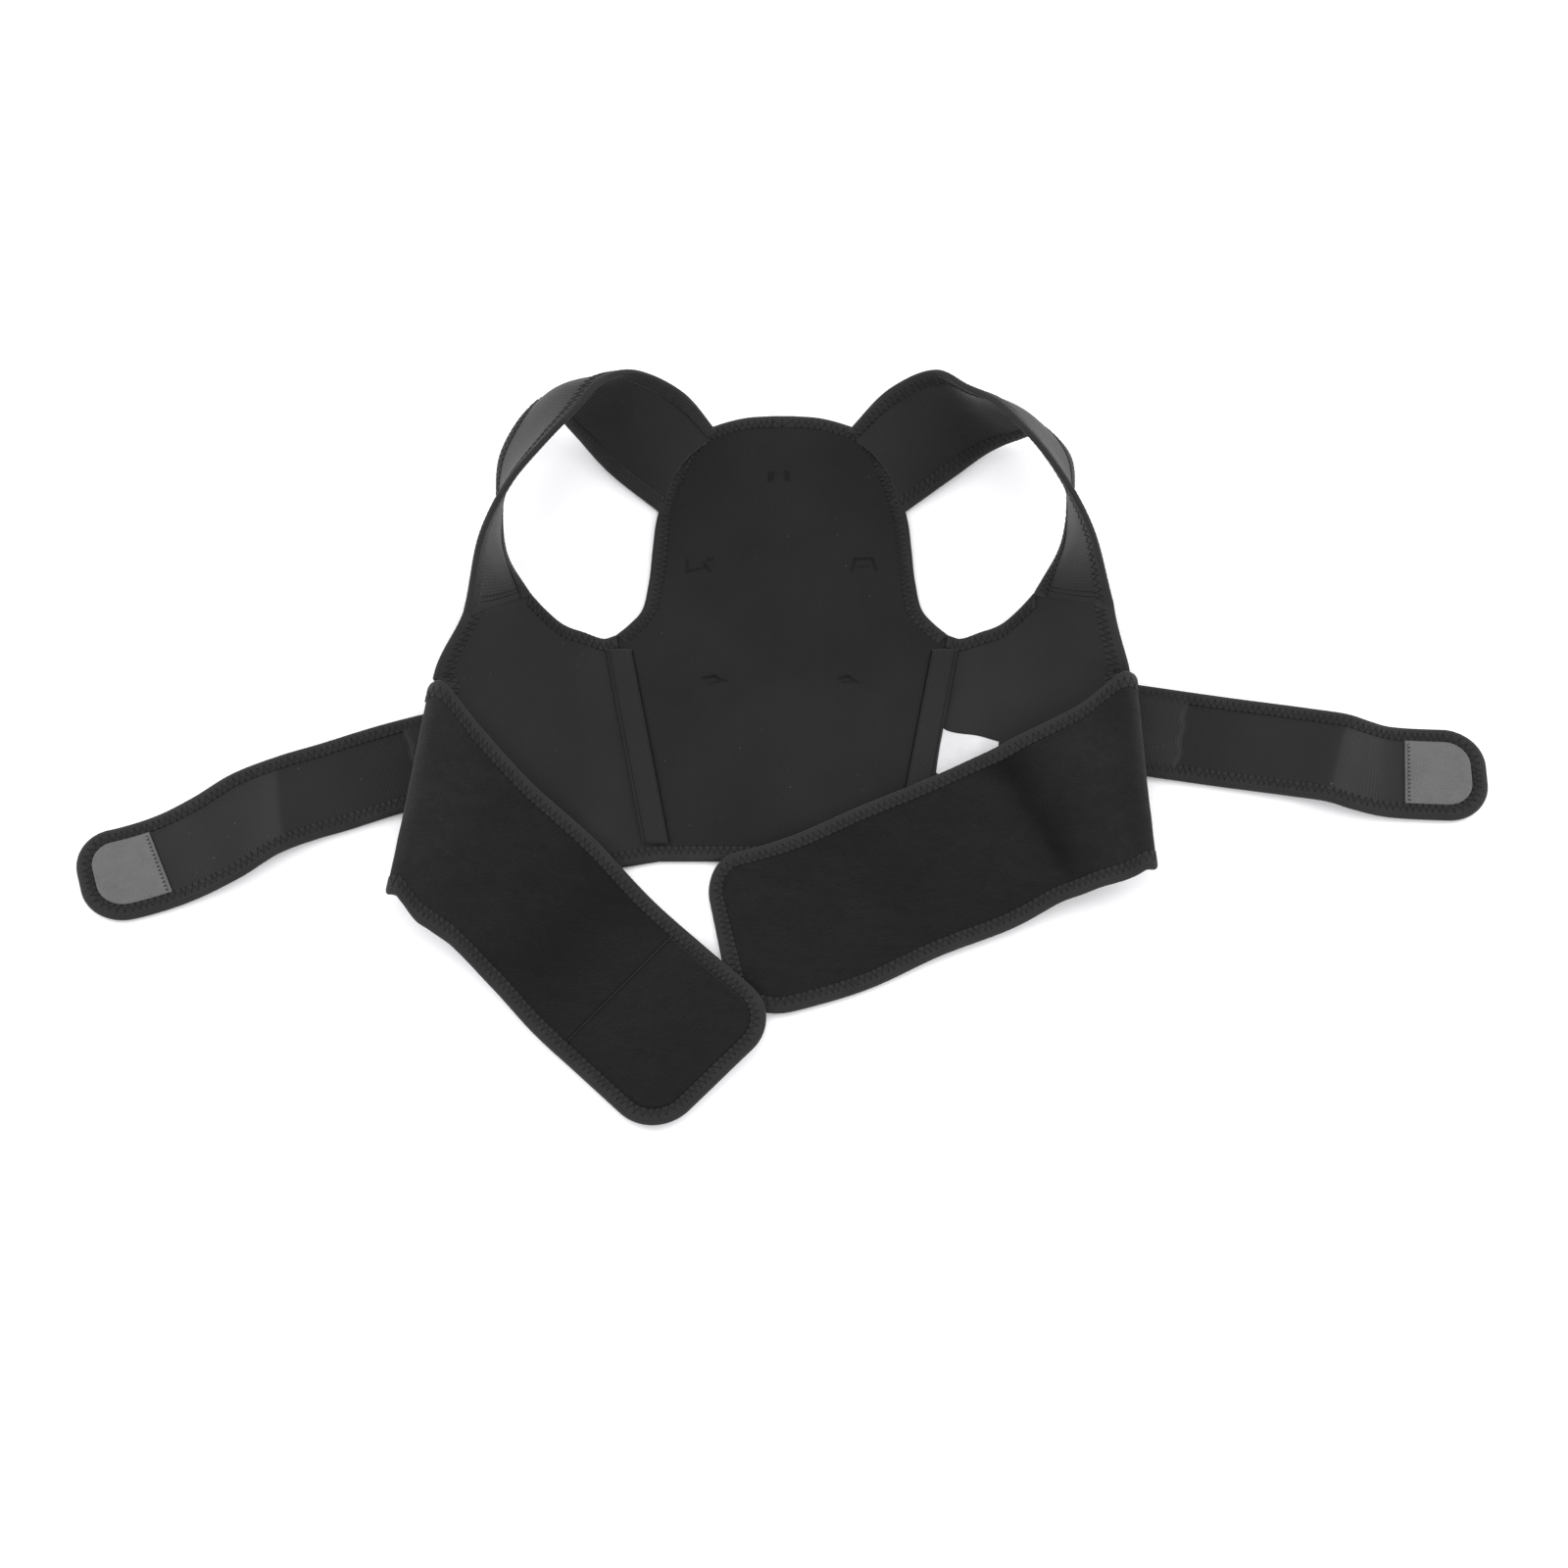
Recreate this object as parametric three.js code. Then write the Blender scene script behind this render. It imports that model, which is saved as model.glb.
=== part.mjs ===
// A posture corrector lying on its back with its inner face up: a centre panel between two wings,
// two shoulder straps that stand up in loops, two waist belts folded over the wings, and two tension
// straps that run out from under the wings. Every cloth edge is bound with tape.
// Millimetres. z = 0 is the flat underside of the panel, +Y points to the neck, +X to the right belt.

import * as THREE from "three";

const { lerp, smoothstep, degToRad } = THREE.MathUtils;

// Driving dimensions: cloth, tape and the space left between two pieces
const GAP = 0.3;
const SEAM_GAP = 0.5;
const CLOTH_THICK = 3;
const PANEL_THICK = 4;
const TAPE_WIDTH = 10;
const TAPE_THICK = 4.4;

// Driving dimensions: centre panel and wings
const PANEL_LENGTH = 345;
const HEM_TO_ORIGIN = 138;
const PANEL_HALF_WIDTH = 109;
const WING_WIDTH = 130;
const SIDE_HEIGHT = 42;
const CASING_WIDTH = 17;
const CASING_THICK = 2.2;
const LABEL_WIDTH = 38;
const LABEL_HEIGHT = 34;
const LABEL_THICK = 0.8;
const LABEL_CLEARANCE = 2.4;

// Driving dimensions: shoulder straps, belts and tension straps
const STRAP_ROOT_WIDTH = 76;
const STRAP_END_WIDTH = 58;
const ROOT_CLEARANCE = 4.5;
const ROOT_BULGE = 10;
const LOOP_SPREAD = 100;
const LOOP_HEIGHT = 60;
const BELT_WIDTH = 116;
const BELT_LENGTH = 300;
const BELT_TIP_RADIUS = 30;
const FOLD_RADIUS = 6;
const FOLD_CLEARANCE = 0.8;
const FOLD_RUN_SHARE = 1.3;
const PATCH_LENGTH = 80;
const PATCH_THICK = 1.2;
const TENSION_WIDTH = 67;
const TENSION_LENGTH = 330;
const TENSION_TIP_RADIUS = 27;
const TENSION_ROOT_SETBACK = 36;
const HUMP_HEIGHT = 10;
const TAB_LENGTH = 43;
const TAB_THICK = 1.2;

// Bound edge of the panel from the armhole's lowest point to the neck: out and up are shares of the
// panel's half width and length
const PANEL_EDGE = [
  { out: 1.0, up: 0.49 },
  { out: 0.92, up: 0.515 },
  { out: 0.85, up: 0.545 },
  { out: 0.81, up: 0.61 },
  { out: 0.79, up: 0.69 },
  { out: 0.77, up: 0.755 },
  { out: 0.7, up: 0.845 },
  { out: 0.6, up: 0.925 },
  { out: 0.48, up: 0.965 },
  { out: 0.385, up: 0.98 },
  { out: 0.23, up: 0.995 },
  { out: 0.055, up: 1.0 },
];
const STRAP_ARM_SHARE = 0.4545;
const STRAP_NECK_SHARE = 0.818;
const CASING_FOOT_SHARE = 0.715;

// Armhole edge of a wing, from the panel to the strap: shares of the wing's width and the panel's length
const ARMHOLE_EDGE = [
  { out: 0, up: 0.49 },
  { out: 0.07, up: 0.481 },
  { out: 0.165, up: 0.487 },
  { out: 0.265, up: 0.502 },
  { out: 0.355, up: 0.53 },
  { out: 0.44, up: 0.563 },
];
const STRAP_SEAM_SHARE = 0.58;
const FOLD_TOP_SHARE = 0.72;
const FOOT_RAMP_SHARE = 0.15;
const LABEL_TOP_SHARE = 0.585;
const LABEL_SLOPE_SHARE = 0.25;

// Outer edge of each wing, from the foot of the fold to the strap's neck edge: at runs along the edge,
// out is a share of the wing's width, up of the panel's length and high of the side's height
const SIDE_EDGE = {
  left: [
    { at: 0, out: 1.0, up: -0.088, high: 0.33 },
    { at: 0.72, out: 0.845, up: 0.322, high: 0.64 },
    { at: 0.86, out: 0.815, up: 0.397, high: 0.83 },
    { at: 1, out: 0.755, up: 0.475, high: 1.0 },
  ],
  right: [
    { at: 0, out: 0.91, up: -0.038, high: 0.33 },
    { at: 0.72, out: 0.855, up: 0.342, high: 0.64 },
    { at: 0.86, out: 0.845, up: 0.397, high: 0.81 },
    { at: 1, out: 0.825, up: 0.493, high: 0.93 },
  ],
};

// Shoulder loops: how far the strap's middle stands off the straight line between its two ends, as
// shares of the loop's spread and height, with the turn and tilt of the strap's width in degrees
const LOOP = {
  left: [
    { at: 0, out: 0, up: 0, high: 0, turn: 118, tilt: 3 },
    { at: 0.13, out: 0.13, up: 0.36, high: 0.24, turn: 141, tilt: 27 },
    { at: 0.26, out: 0.24, up: 0.65, high: 0.43, turn: 166, tilt: 51 },
    { at: 0.35, out: 0.31, up: 0.75, high: 0.58, turn: 200, tilt: 50 },
    { at: 0.44, out: 0.34, up: 0.69, high: 0.64, turn: 212, tilt: 45 },
    { at: 0.57, out: 0.38, up: 0.54, high: 0.54, turn: 215, tilt: 52 },
    { at: 0.7, out: 0.34, up: 0.37, high: 0.37, turn: 246, tilt: 68 },
    { at: 0.83, out: 0.24, up: 0.2, high: 0.16, turn: 298, tilt: 66 },
    { at: 1, out: 0, up: 0, high: 0, turn: 327, tilt: 32 },
  ],
  right: [
    { at: 0, out: 0, up: 0, high: 0, turn: 118, tilt: 3 },
    { at: 0.13, out: 0.15, up: 0.35, high: 0.25, turn: 133, tilt: 26 },
    { at: 0.26, out: 0.25, up: 0.6, high: 0.37, turn: 146, tilt: 50 },
    { at: 0.35, out: 0.32, up: 0.65, high: 0.43, turn: 177, tilt: 57 },
    { at: 0.44, out: 0.38, up: 0.65, high: 0.55, turn: 199, tilt: 55 },
    { at: 0.57, out: 0.41, up: 0.53, high: 0.58, turn: 211, tilt: 57 },
    { at: 0.7, out: 0.35, up: 0.37, high: 0.45, turn: 246, tilt: 69 },
    { at: 0.83, out: 0.24, up: 0.22, high: 0.22, turn: 304, tilt: 64 },
    { at: 1, out: 0, up: 0, high: 0, turn: 328, tilt: 30 },
  ],
};

// Belts after the fold: the middle's way in and down from the fold as shares of the belt's length, its
// height as a share of the side's height, and the turn and tilt of its width in degrees
const BELT = {
  left: [
    { inward: 0.06, down: 0.085, high: 0.66, turn: 104, tilt: 3 },
    { inward: 0.155, down: 0.175, high: 0.47, turn: 111, tilt: 3 },
    { inward: 0.27, down: 0.28, high: 0.27, turn: 121, tilt: 3 },
    { inward: 0.375, down: 0.395, high: 0.15, turn: 129, tilt: 1 },
    { inward: 0.466, down: 0.485, high: 0.14, turn: 133, tilt: 2 },
    { inward: 0.556, down: 0.575, high: 0.18, turn: 134, tilt: 3 },
    { inward: 0.638, down: 0.656, high: 0.2, turn: 134, tilt: 3 },
  ],
  right: [
    { inward: 0.075, down: 0.05, high: 0.72, turn: 100, tilt: 3 },
    { inward: 0.205, down: 0.1, high: 0.42, turn: 107, tilt: 3 },
    { inward: 0.33, down: 0.162, high: 0.27, turn: 113, tilt: 4 },
    { inward: 0.5, down: 0.232, high: 0.19, turn: 116, tilt: 2 },
    { inward: 0.65, down: 0.305, high: 0.15, turn: 116, tilt: 3 },
    { inward: 0.77, down: 0.344, high: 0.13, turn: 109, tilt: 2 },
    { inward: 0.88, down: 0.369, high: 0.11, turn: 101, tilt: 2 },
  ],
};

// Tension straps: the middle's way out and down from its root as shares of the strap's length, its rise
// over the floor as a share of the hump's height, and the turn of its width in degrees
const TENSION = {
  left: [
    { out: 0, down: 0, high: 0, turn: 73 },
    { out: 0.18, down: 0.055, high: 0, turn: 73 },
    { out: 0.355, down: 0.107, high: 0, turn: 73 },
    { out: 0.47, down: 0.15, high: 0.05, turn: 71 },
    { out: 0.54, down: 0.178, high: 0.25, turn: 66 },
    { out: 0.615, down: 0.22, high: 0.65, turn: 59 },
    { out: 0.685, down: 0.27, high: 0.55, turn: 58 },
    { out: 0.76, down: 0.307, high: 0.15, turn: 65 },
    { out: 0.835, down: 0.334, high: 0, turn: 70 },
    { out: 0.945, down: 0.362, high: 0, turn: 74 },
  ],
  right: [
    { out: 0, down: 0, high: 0, turn: 80 },
    { out: 0.18, down: 0.03, high: 0, turn: 80 },
    { out: 0.345, down: 0.058, high: 0, turn: 80 },
    { out: 0.46, down: 0.078, high: 0.05, turn: 80 },
    { out: 0.605, down: 0.105, high: 0.3, turn: 77 },
    { out: 0.675, down: 0.125, high: 0.7, turn: 74 },
    { out: 0.72, down: 0.138, high: 0.5, turn: 77 },
    { out: 0.77, down: 0.146, high: 0.15, turn: 84 },
    { out: 0.905, down: 0.152, high: 0, turn: 89 },
    { out: 0.965, down: 0.153, high: 0, turn: 90 },
  ],
};
const tensionRootShare = { left: 0.3, right: 0.328 };

const outward = { left: -1, right: 1 };

const MATERIALS = {
  foam: new THREE.MeshStandardMaterial({ color: 0x2c2c2e, roughness: 0.9 }),
  nylon: new THREE.MeshStandardMaterial({ color: 0x323235, roughness: 0.7 }),
  plush: new THREE.MeshStandardMaterial({ color: 0x222223, roughness: 1 }),
  tape: new THREE.MeshStandardMaterial({ color: 0x38383a, roughness: 0.75 }),
  hook: new THREE.MeshStandardMaterial({ color: 0x6d6e70, roughness: 0.6 }),
  label: new THREE.MeshStandardMaterial({ color: 0xf2f2ee, roughness: 0.8 }),
};

const upToY = (up) => up * PANEL_LENGTH - HEM_TO_ORIGIN;
const steps = (count) => Array.from(Array(count + 1).keys(), (index) => index / count);

// A smooth curve through a table's rows: every column but at is a cubic between its rows
function readRow(rows, at) {
  let low = 0;
  while (low < rows.length - 2 && at > rows[low + 1].at) low += 1;
  const before = rows[Math.max(low - 1, 0)];
  const start = rows[low];
  const end = rows[low + 1];
  const after = rows[Math.min(low + 2, rows.length - 1)];
  const span = end.at - start.at;
  const t = (at - start.at) / span;
  const value = {};
  for (const key of Object.keys(start)) {
    const startSlope = ((end[key] - before[key]) / (end.at - before.at)) * span;
    const endSlope = ((after[key] - start[key]) / (after.at - start.at)) * span;
    const bend = 2 * start[key] - 2 * end[key] + startSlope + endSlope;
    const pull = 3 * end[key] - 3 * start[key] - 2 * startSlope - endSlope;
    value[key] = start[key] + t * (startSlope + t * (pull + t * bend));
  }
  return value;
}

// A closed sheet over a grid of points, from low to high along the sheet's normal
function shell(grid, low, high, facing = 1) {
  const rowCount = grid.length;
  const columnCount = grid[0].length;
  const positions = [];
  for (const offset of [low, high]) {
    grid.forEach((row, i) => {
      row.forEach((point, j) => {
        const alongRows = grid[Math.min(i + 1, rowCount - 1)][j].clone().sub(grid[Math.max(i - 1, 0)][j]);
        const alongColumns = row[Math.min(j + 1, columnCount - 1)].clone().sub(row[Math.max(j - 1, 0)]);
        const normal = alongRows.cross(alongColumns).normalize().multiplyScalar(facing * offset);
        positions.push(...point.clone().add(normal).toArray());
      });
    });
  }
  const below = (i, j) => i * columnCount + j;
  const above = (i, j) => (rowCount + i) * columnCount + j;
  const indices = [];
  const quad = (a, b, c, d) => indices.push(a, b, c, a, c, d);
  for (let i = 0; i < rowCount - 1; i += 1) {
    for (let j = 0; j < columnCount - 1; j += 1) {
      quad(above(i, j), above(i + 1, j), above(i + 1, j + 1), above(i, j + 1));
      quad(below(i, j), below(i, j + 1), below(i + 1, j + 1), below(i + 1, j));
    }
    const last = columnCount - 1;
    quad(above(i, 0), below(i, 0), below(i + 1, 0), above(i + 1, 0));
    quad(above(i + 1, last), below(i + 1, last), below(i, last), above(i, last));
  }
  for (let j = 0; j < columnCount - 1; j += 1) {
    const last = rowCount - 1;
    quad(above(0, j + 1), below(0, j + 1), below(0, j), above(0, j));
    quad(above(last, j), below(last, j), below(last, j + 1), above(last, j + 1));
  }
  return faceOut(positions, indices);
}

// Turns the triangles over where the body would be inside out
function faceOut(positions, indices) {
  const corner = (index) => new THREE.Vector3(...positions.slice(3 * index, 3 * index + 3));
  let volume = 0;
  for (let k = 0; k < indices.length; k += 3) {
    volume += corner(indices[k]).dot(corner(indices[k + 1]).cross(corner(indices[k + 2])));
  }
  if (volume < 0) indices.reverse();
  const geometry = new THREE.BufferGeometry();
  geometry.setAttribute("position", new THREE.Float32BufferAttribute(positions, 3));
  geometry.setIndex(indices);
  geometry.computeVertexNormals();
  return geometry;
}

const device = new THREE.Group();

function addPiece(name, geometry, material) {
  const mesh = new THREE.Mesh(geometry, material);
  mesh.name = name;
  device.add(mesh);
}

// Outline of the panel: the casing line runs straight from the hem to the armhole
const casingOut = (y) =>
  PANEL_HALF_WIDTH * lerp(CASING_FOOT_SHARE, 1, (y + HEM_TO_ORIGIN) / (PANEL_EDGE[0].up * PANEL_LENGTH));

const panelCurve = new THREE.CatmullRomCurve3(
  PANEL_EDGE.map((row) => new THREE.Vector3(row.out * PANEL_HALF_WIDTH, upToY(row.up), 0)),
);

function panelEdgePoint(at, inset) {
  const tangent = panelCurve.getTangent(at);
  return panelCurve.getPoint(at).add(new THREE.Vector3(-tangent.y, tangent.x, 0).multiplyScalar(inset));
}

const mirrored = (point, side) => new THREE.Vector3(point.x * outward[side], point.y, point.z);

function addPanel() {
  const lowerRows = 7;
  const upperRows = 18;
  const columns = 8;
  const seam = TAPE_WIDTH + SEAM_GAP;
  const firstInset = panelEdgePoint(0, seam);
  const edge = steps(lowerRows).map((at) => {
    const y = lerp(seam - HEM_TO_ORIGIN, firstInset.y - seam, at);
    return new THREE.Vector3(casingOut(y) - GAP / 2, y, 0);
  });
  edge.push(...steps(upperRows).map((at) => panelEdgePoint(at, seam)));
  const grid = edge.map((point) =>
    steps(columns).map((across) => new THREE.Vector3(lerp(-point.x, point.x, across), point.y, 0)),
  );
  addPiece("centre_panel", shell(grid, 0, PANEL_THICK, -1), MATERIALS.foam);

  const half = steps(upperRows).map((at) => [panelEdgePoint(at, 0), panelEdgePoint(at, TAPE_WIDTH)]);
  const leftHalf = half.map((pair) => pair.map((point) => mirrored(point, "left"))).reverse();
  const binding = shell([...half, ...leftHalf], 0, TAPE_THICK);
  addPiece("panel_binding", binding, MATERIALS.tape);
}

// Surface of a wing's underside: u runs from the casing to the outer edge, v from the hem to the strap
function makeWing(side) {
  const wingX = (out) => PANEL_HALF_WIDTH + out * WING_WIDTH;
  const sideRowPoint = (row) => new THREE.Vector3(wingX(row.out), upToY(row.up), row.high * SIDE_HEIGHT);
  const [foldFoot, foldHead] = SIDE_EDGE[side].map(sideRowPoint);
  const sidePoint = (v) => {
    if (v <= FOLD_TOP_SHARE) return foldFoot.clone().lerp(foldHead, v / FOLD_TOP_SHARE);
    return sideRowPoint(readRow(SIDE_EDGE[side].slice(1), v));
  };
  const armhole = new THREE.CatmullRomCurve3(
    ARMHOLE_EDGE.map((row) => new THREE.Vector3(wingX(row.out), upToY(row.up), 0)),
  );
  const topPoint = (u) => {
    if (u <= STRAP_SEAM_SHARE) return armhole.getPoint(u / STRAP_SEAM_SHARE);
    return armhole.getPoint(1).lerp(sidePoint(1), (u - STRAP_SEAM_SHARE) / (1 - STRAP_SEAM_SHARE));
  };
  const hemStart = new THREE.Vector3(casingOut(-HEM_TO_ORIGIN), -HEM_TO_ORIGIN, 0);
  const hemPoint = (u) => hemStart.clone().lerp(sidePoint(0), u);
  const innerPoint = (v) => hemStart.clone().lerp(topPoint(0), v);
  const underpass = TAPE_THICK + 3 * GAP;
  const height = (u, v) => {
    const rampStart = (CASING_WIDTH / 2 + GAP) / WING_WIDTH;
    const rampEnd = (TENSION_ROOT_SETBACK - GAP) / WING_WIDTH;
    const raised = underpass * smoothstep(u, rampStart, rampEnd) * smoothstep(v, 0, FOOT_RAMP_SHARE);
    return lerp(raised, sidePoint(v).z, u * u * u);
  };
  const place = (u, v) => {
    const point = new THREE.Vector3();
    point.addScaledVector(innerPoint(v), 1 - u).addScaledVector(sidePoint(v), u);
    point.addScaledVector(hemPoint(u), 1 - v).addScaledVector(topPoint(u), v);
    point.addScaledVector(hemPoint(0), -(1 - u) * (1 - v)).addScaledVector(hemPoint(1), -u * (1 - v));
    point.addScaledVector(topPoint(0), -(1 - u) * v).addScaledVector(topPoint(1), -u * v);
    point.z = height(u, v);
    return mirrored(point, side);
  };
  const widthAt = (v) => place(0, v).distanceTo(place(1, v));
  const lengthAt = (u) => place(u, 0).distanceTo(place(u, 1));
  return { side, place, widthAt, lengthAt };
}

function addWing(wing) {
  const { side, place, widthAt, lengthAt } = wing;
  const seam = TAPE_WIDTH + SEAM_GAP;
  const facing = outward[side];
  const columns = steps(9).map((at) => at * STRAP_SEAM_SHARE);
  columns.push(...steps(5).slice(1).map((at) => lerp(STRAP_SEAM_SHARE, 1, at)));
  const rows = steps(7).map((at) => at * FOLD_TOP_SHARE);
  rows.push(...steps(4).slice(1).map((at) => lerp(FOLD_TOP_SHARE, 1, at)));
  const grid = columns.map((u0) =>
    rows.map((v0) => {
      const sideMargin = (v0 < FOLD_TOP_SHARE ? GAP : seam) / widthAt(v0);
      const topMargin = (u0 > STRAP_SEAM_SHARE ? GAP : seam) / lengthAt(u0);
      const beyondSeam = Math.max(0, u0 - STRAP_SEAM_SHARE) / (1 - STRAP_SEAM_SHARE);
      const beyondFold = Math.max(0, v0 - FOLD_TOP_SHARE) / (1 - FOLD_TOP_SHARE);
      const withinFold = 1 - Math.min(1, v0 / FOLD_TOP_SHARE);
      const u = u0 - beyondSeam * sideMargin + (u0 === 0 ? GAP / 2 / widthAt(v0) : 0);
      const v = v0 - beyondFold * topMargin + (withinFold * seam) / lengthAt(u0);
      return place(u, v);
    }),
  );
  addPiece(`wing_${side}`, shell(grid, 0, CLOTH_THICK, facing), MATERIALS.nylon);

  const armholeGrid = steps(9).map((at) => {
    const u = lerp(GAP / widthAt(1), STRAP_SEAM_SHARE, at);
    return [place(u, 1), place(u, 1 - TAPE_WIDTH / lengthAt(u))];
  });
  addPiece(`armhole_binding_${side}`, shell(armholeGrid, 0, TAPE_THICK, -facing), MATERIALS.tape);

  const sideGrid = steps(6).map((at) => {
    const v = lerp(FOLD_TOP_SHARE, 1 - GAP / lengthAt(1), at);
    return [place(1, v), place(1 - TAPE_WIDTH / widthAt(v), v)];
  });
  addPiece(`side_binding_${side}`, shell(sideGrid, 0, TAPE_THICK, -facing), MATERIALS.tape);

  const foot = new THREE.Vector3(casingOut(-HEM_TO_ORIGIN + seam), -HEM_TO_ORIGIN + seam + GAP, 0);
  const headY = upToY(ARMHOLE_EDGE[1].up) - seam - GAP;
  const head = new THREE.Vector3(casingOut(headY), headY, 0);
  const casingGrid = steps(5).map((at) =>
    [-0.5, 0.5].map((across) => {
      const middle = foot.clone().lerp(head, at);
      return mirrored(middle.add(new THREE.Vector3(across * CASING_WIDTH, 0, 0)), side);
    }),
  );
  const casing = shell(casingGrid, TAPE_THICK, TAPE_THICK + CASING_THICK, -facing);
  addPiece(`stay_casing_${side}`, casing, MATERIALS.tape);
}

function addHem(wings) {
  const wingHalf = (wing) =>
    steps(9).map((at) => {
      const u = at * (1 - SEAM_GAP / wing.widthAt(0));
      return [wing.place(u, 0), wing.place(u, TAPE_WIDTH / wing.lengthAt(u))];
    });
  const grid = [...wingHalf(wings.left).reverse(), ...wingHalf(wings.right)];
  addPiece("hem_binding", shell(grid, 0, TAPE_THICK), MATERIALS.tape);
}

function addLabel(wing) {
  const grid = steps(8).map((across) =>
    steps(4).map((down) => {
      const out = CASING_WIDTH / 2 + LABEL_CLEARANCE + across * LABEL_WIDTH;
      const drop = down * LABEL_HEIGHT + across * LABEL_WIDTH * LABEL_SLOPE_SHARE;
      const u = out / wing.widthAt(LABEL_TOP_SHARE);
      return wing.place(u, LABEL_TOP_SHARE - drop / wing.lengthAt(0));
    }),
  );
  const low = CLOTH_THICK + SEAM_GAP;
  addPiece("care_label", shell(grid, low, low + LABEL_THICK, -1), MATERIALS.label);
}

// A ribbon through stations: each has a middle point and the direction of the ribbon's width, and a
// station that crosses the ribbon at a slant is as much longer, so that the ribbon keeps its width
function makeRibbon(stations, startWidth, endWidth) {
  const middle = new THREE.CatmullRomCurve3(stations.map((station) => station.middle));
  const edges = [-0.5, 0.5].map((across) => {
    const points = stations.map((station, index) => {
      const t = index / (stations.length - 1);
      const slant = station.across.clone().cross(middle.getTangent(t)).length();
      const width = station.width ?? lerp(startWidth, endWidth, t) / slant;
      return station.middle.clone().addScaledVector(station.across, across * width);
    });
    return new THREE.CatmullRomCurve3(points);
  });
  const length = middle.getLength();
  const widthAt = (distance) => lerp(startWidth, endWidth, distance / length);
  const place = (distance, offset) => {
    const t = middle.getUtoTmapping(THREE.MathUtils.clamp(distance / length, 0, 1));
    return edges[0].getPoint(t).lerp(edges[1].getPoint(t), 0.5 + offset / widthAt(distance));
  };
  return { place, length, widthAt };
}

// Rows of a ribbon with a rounded tip: the distance and half width of each, inset by a margin
function tipRows(ribbon, margin, straight, radius) {
  const half = ribbon.widthAt(0) / 2;
  const cornerAt = ribbon.length - radius;
  const rows = straight.map((distance) => ({ distance, half: half - margin }));
  for (const at of steps(5).slice(1)) {
    const angle = at * (Math.PI / 2);
    const reach = radius - margin;
    rows.push({
      distance: cornerAt + reach * Math.sin(angle),
      half: half - radius + reach * Math.cos(angle),
    });
  }
  return rows;
}

function ribbonGrid(ribbon, rows, columns) {
  return rows.map((row) =>
    steps(columns).map((across) => ribbon.place(row.distance, lerp(-row.half, row.half, across))),
  );
}

// Evenly spaced distances along a ribbon, up to where its rounded tip begins
const evenly = (start, end, count) => steps(count).map((at) => lerp(start, end, at));

// A tape round the free edges of a ribbon with a rounded tip
function tipBindingGrid(ribbon, straight, radius) {
  const path = (margin) => {
    const rows = tipRows(ribbon, margin, straight, radius);
    const last = rows[rows.length - 1];
    const flats = rows.map((row) => [row.distance, row.half]);
    flats.push([last.distance, 0]);
    flats.push(...rows.map((row) => [row.distance, -row.half]).reverse());
    return flats.map(([distance, offset]) => ribbon.place(distance, offset));
  };
  const outer = path(0);
  const inner = path(TAPE_WIDTH);
  return outer.map((point, index) => [point, inner[index]]);
}

function widthDirection(turn, tilt, side) {
  const flat = Math.cos(degToRad(tilt));
  const x = outward[side] * flat * Math.cos(degToRad(turn));
  return new THREE.Vector3(x, flat * Math.sin(degToRad(turn)), Math.sin(degToRad(tilt)));
}

function addShoulderStrap(wing) {
  const { side, place } = wing;
  const rootArm = mirrored(panelCurve.getPoint(STRAP_ARM_SHARE), side);
  const rootNeck = mirrored(panelCurve.getPoint(STRAP_NECK_SHARE), side);
  const lift = new THREE.Vector3(0, 0, TAPE_THICK / 2);
  const root = rootArm.clone().lerp(rootNeck, 0.5).add(lift);
  const end = place(STRAP_SEAM_SHARE, 1).lerp(place(1, 1), 0.5).add(lift);
  const seamDirection = place(1, 1).sub(place(STRAP_SEAM_SHARE, 1)).normalize();
  const rootDirection = rootNeck.clone().sub(rootArm).normalize();
  const rows = LOOP[side];
  const stations = rows.map((row, index) => {
    const offset = new THREE.Vector3(outward[side] * row.out, row.up, 0).multiplyScalar(LOOP_SPREAD);
    offset.z = row.high * LOOP_HEIGHT;
    let across = widthDirection(row.turn, row.tilt, side);
    if (index === 0) across = rootDirection;
    if (index === rows.length - 1) across = seamDirection;
    return { middle: root.clone().lerp(end, row.at).add(offset), across };
  });
  const ribbon = makeRibbon(stations, STRAP_ROOT_WIDTH, STRAP_END_WIDTH);
  const facing = -outward[side];
  const rootDistance = (offset) => ROOT_CLEARANCE + ROOT_BULGE * (1 - (2 * offset) ** 2);
  const strip = (first, last, columns) =>
    steps(24).map((along) =>
      steps(columns).map((across) => {
        const fromEdge = lerp(first, last, across);
        const start = rootDistance(fromEdge / STRAP_ROOT_WIDTH);
        const distance = lerp(start, ribbon.length - SEAM_GAP, along);
        return ribbon.place(distance, fromEdge * (ribbon.widthAt(distance) / STRAP_ROOT_WIDTH));
      }),
    );
  const half = STRAP_ROOT_WIDTH / 2;
  const inner = half - TAPE_WIDTH;
  const clothHalf = inner - 2 * SEAM_GAP;
  const clothGrid = strip(-clothHalf, clothHalf, 4);
  const cloth = shell(clothGrid, -CLOTH_THICK / 2, CLOTH_THICK / 2, facing);
  addPiece(`shoulder_strap_${side}`, cloth, MATERIALS.foam);
  const arm = shell(strip(-half, -inner, 1), -TAPE_THICK / 2, TAPE_THICK / 2, facing);
  addPiece(`strap_arm_binding_${side}`, arm, MATERIALS.tape);
  const neck = shell(strip(inner, half, 1), -TAPE_THICK / 2, TAPE_THICK / 2, facing);
  addPiece(`strap_neck_binding_${side}`, neck, MATERIALS.tape);
}

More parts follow.
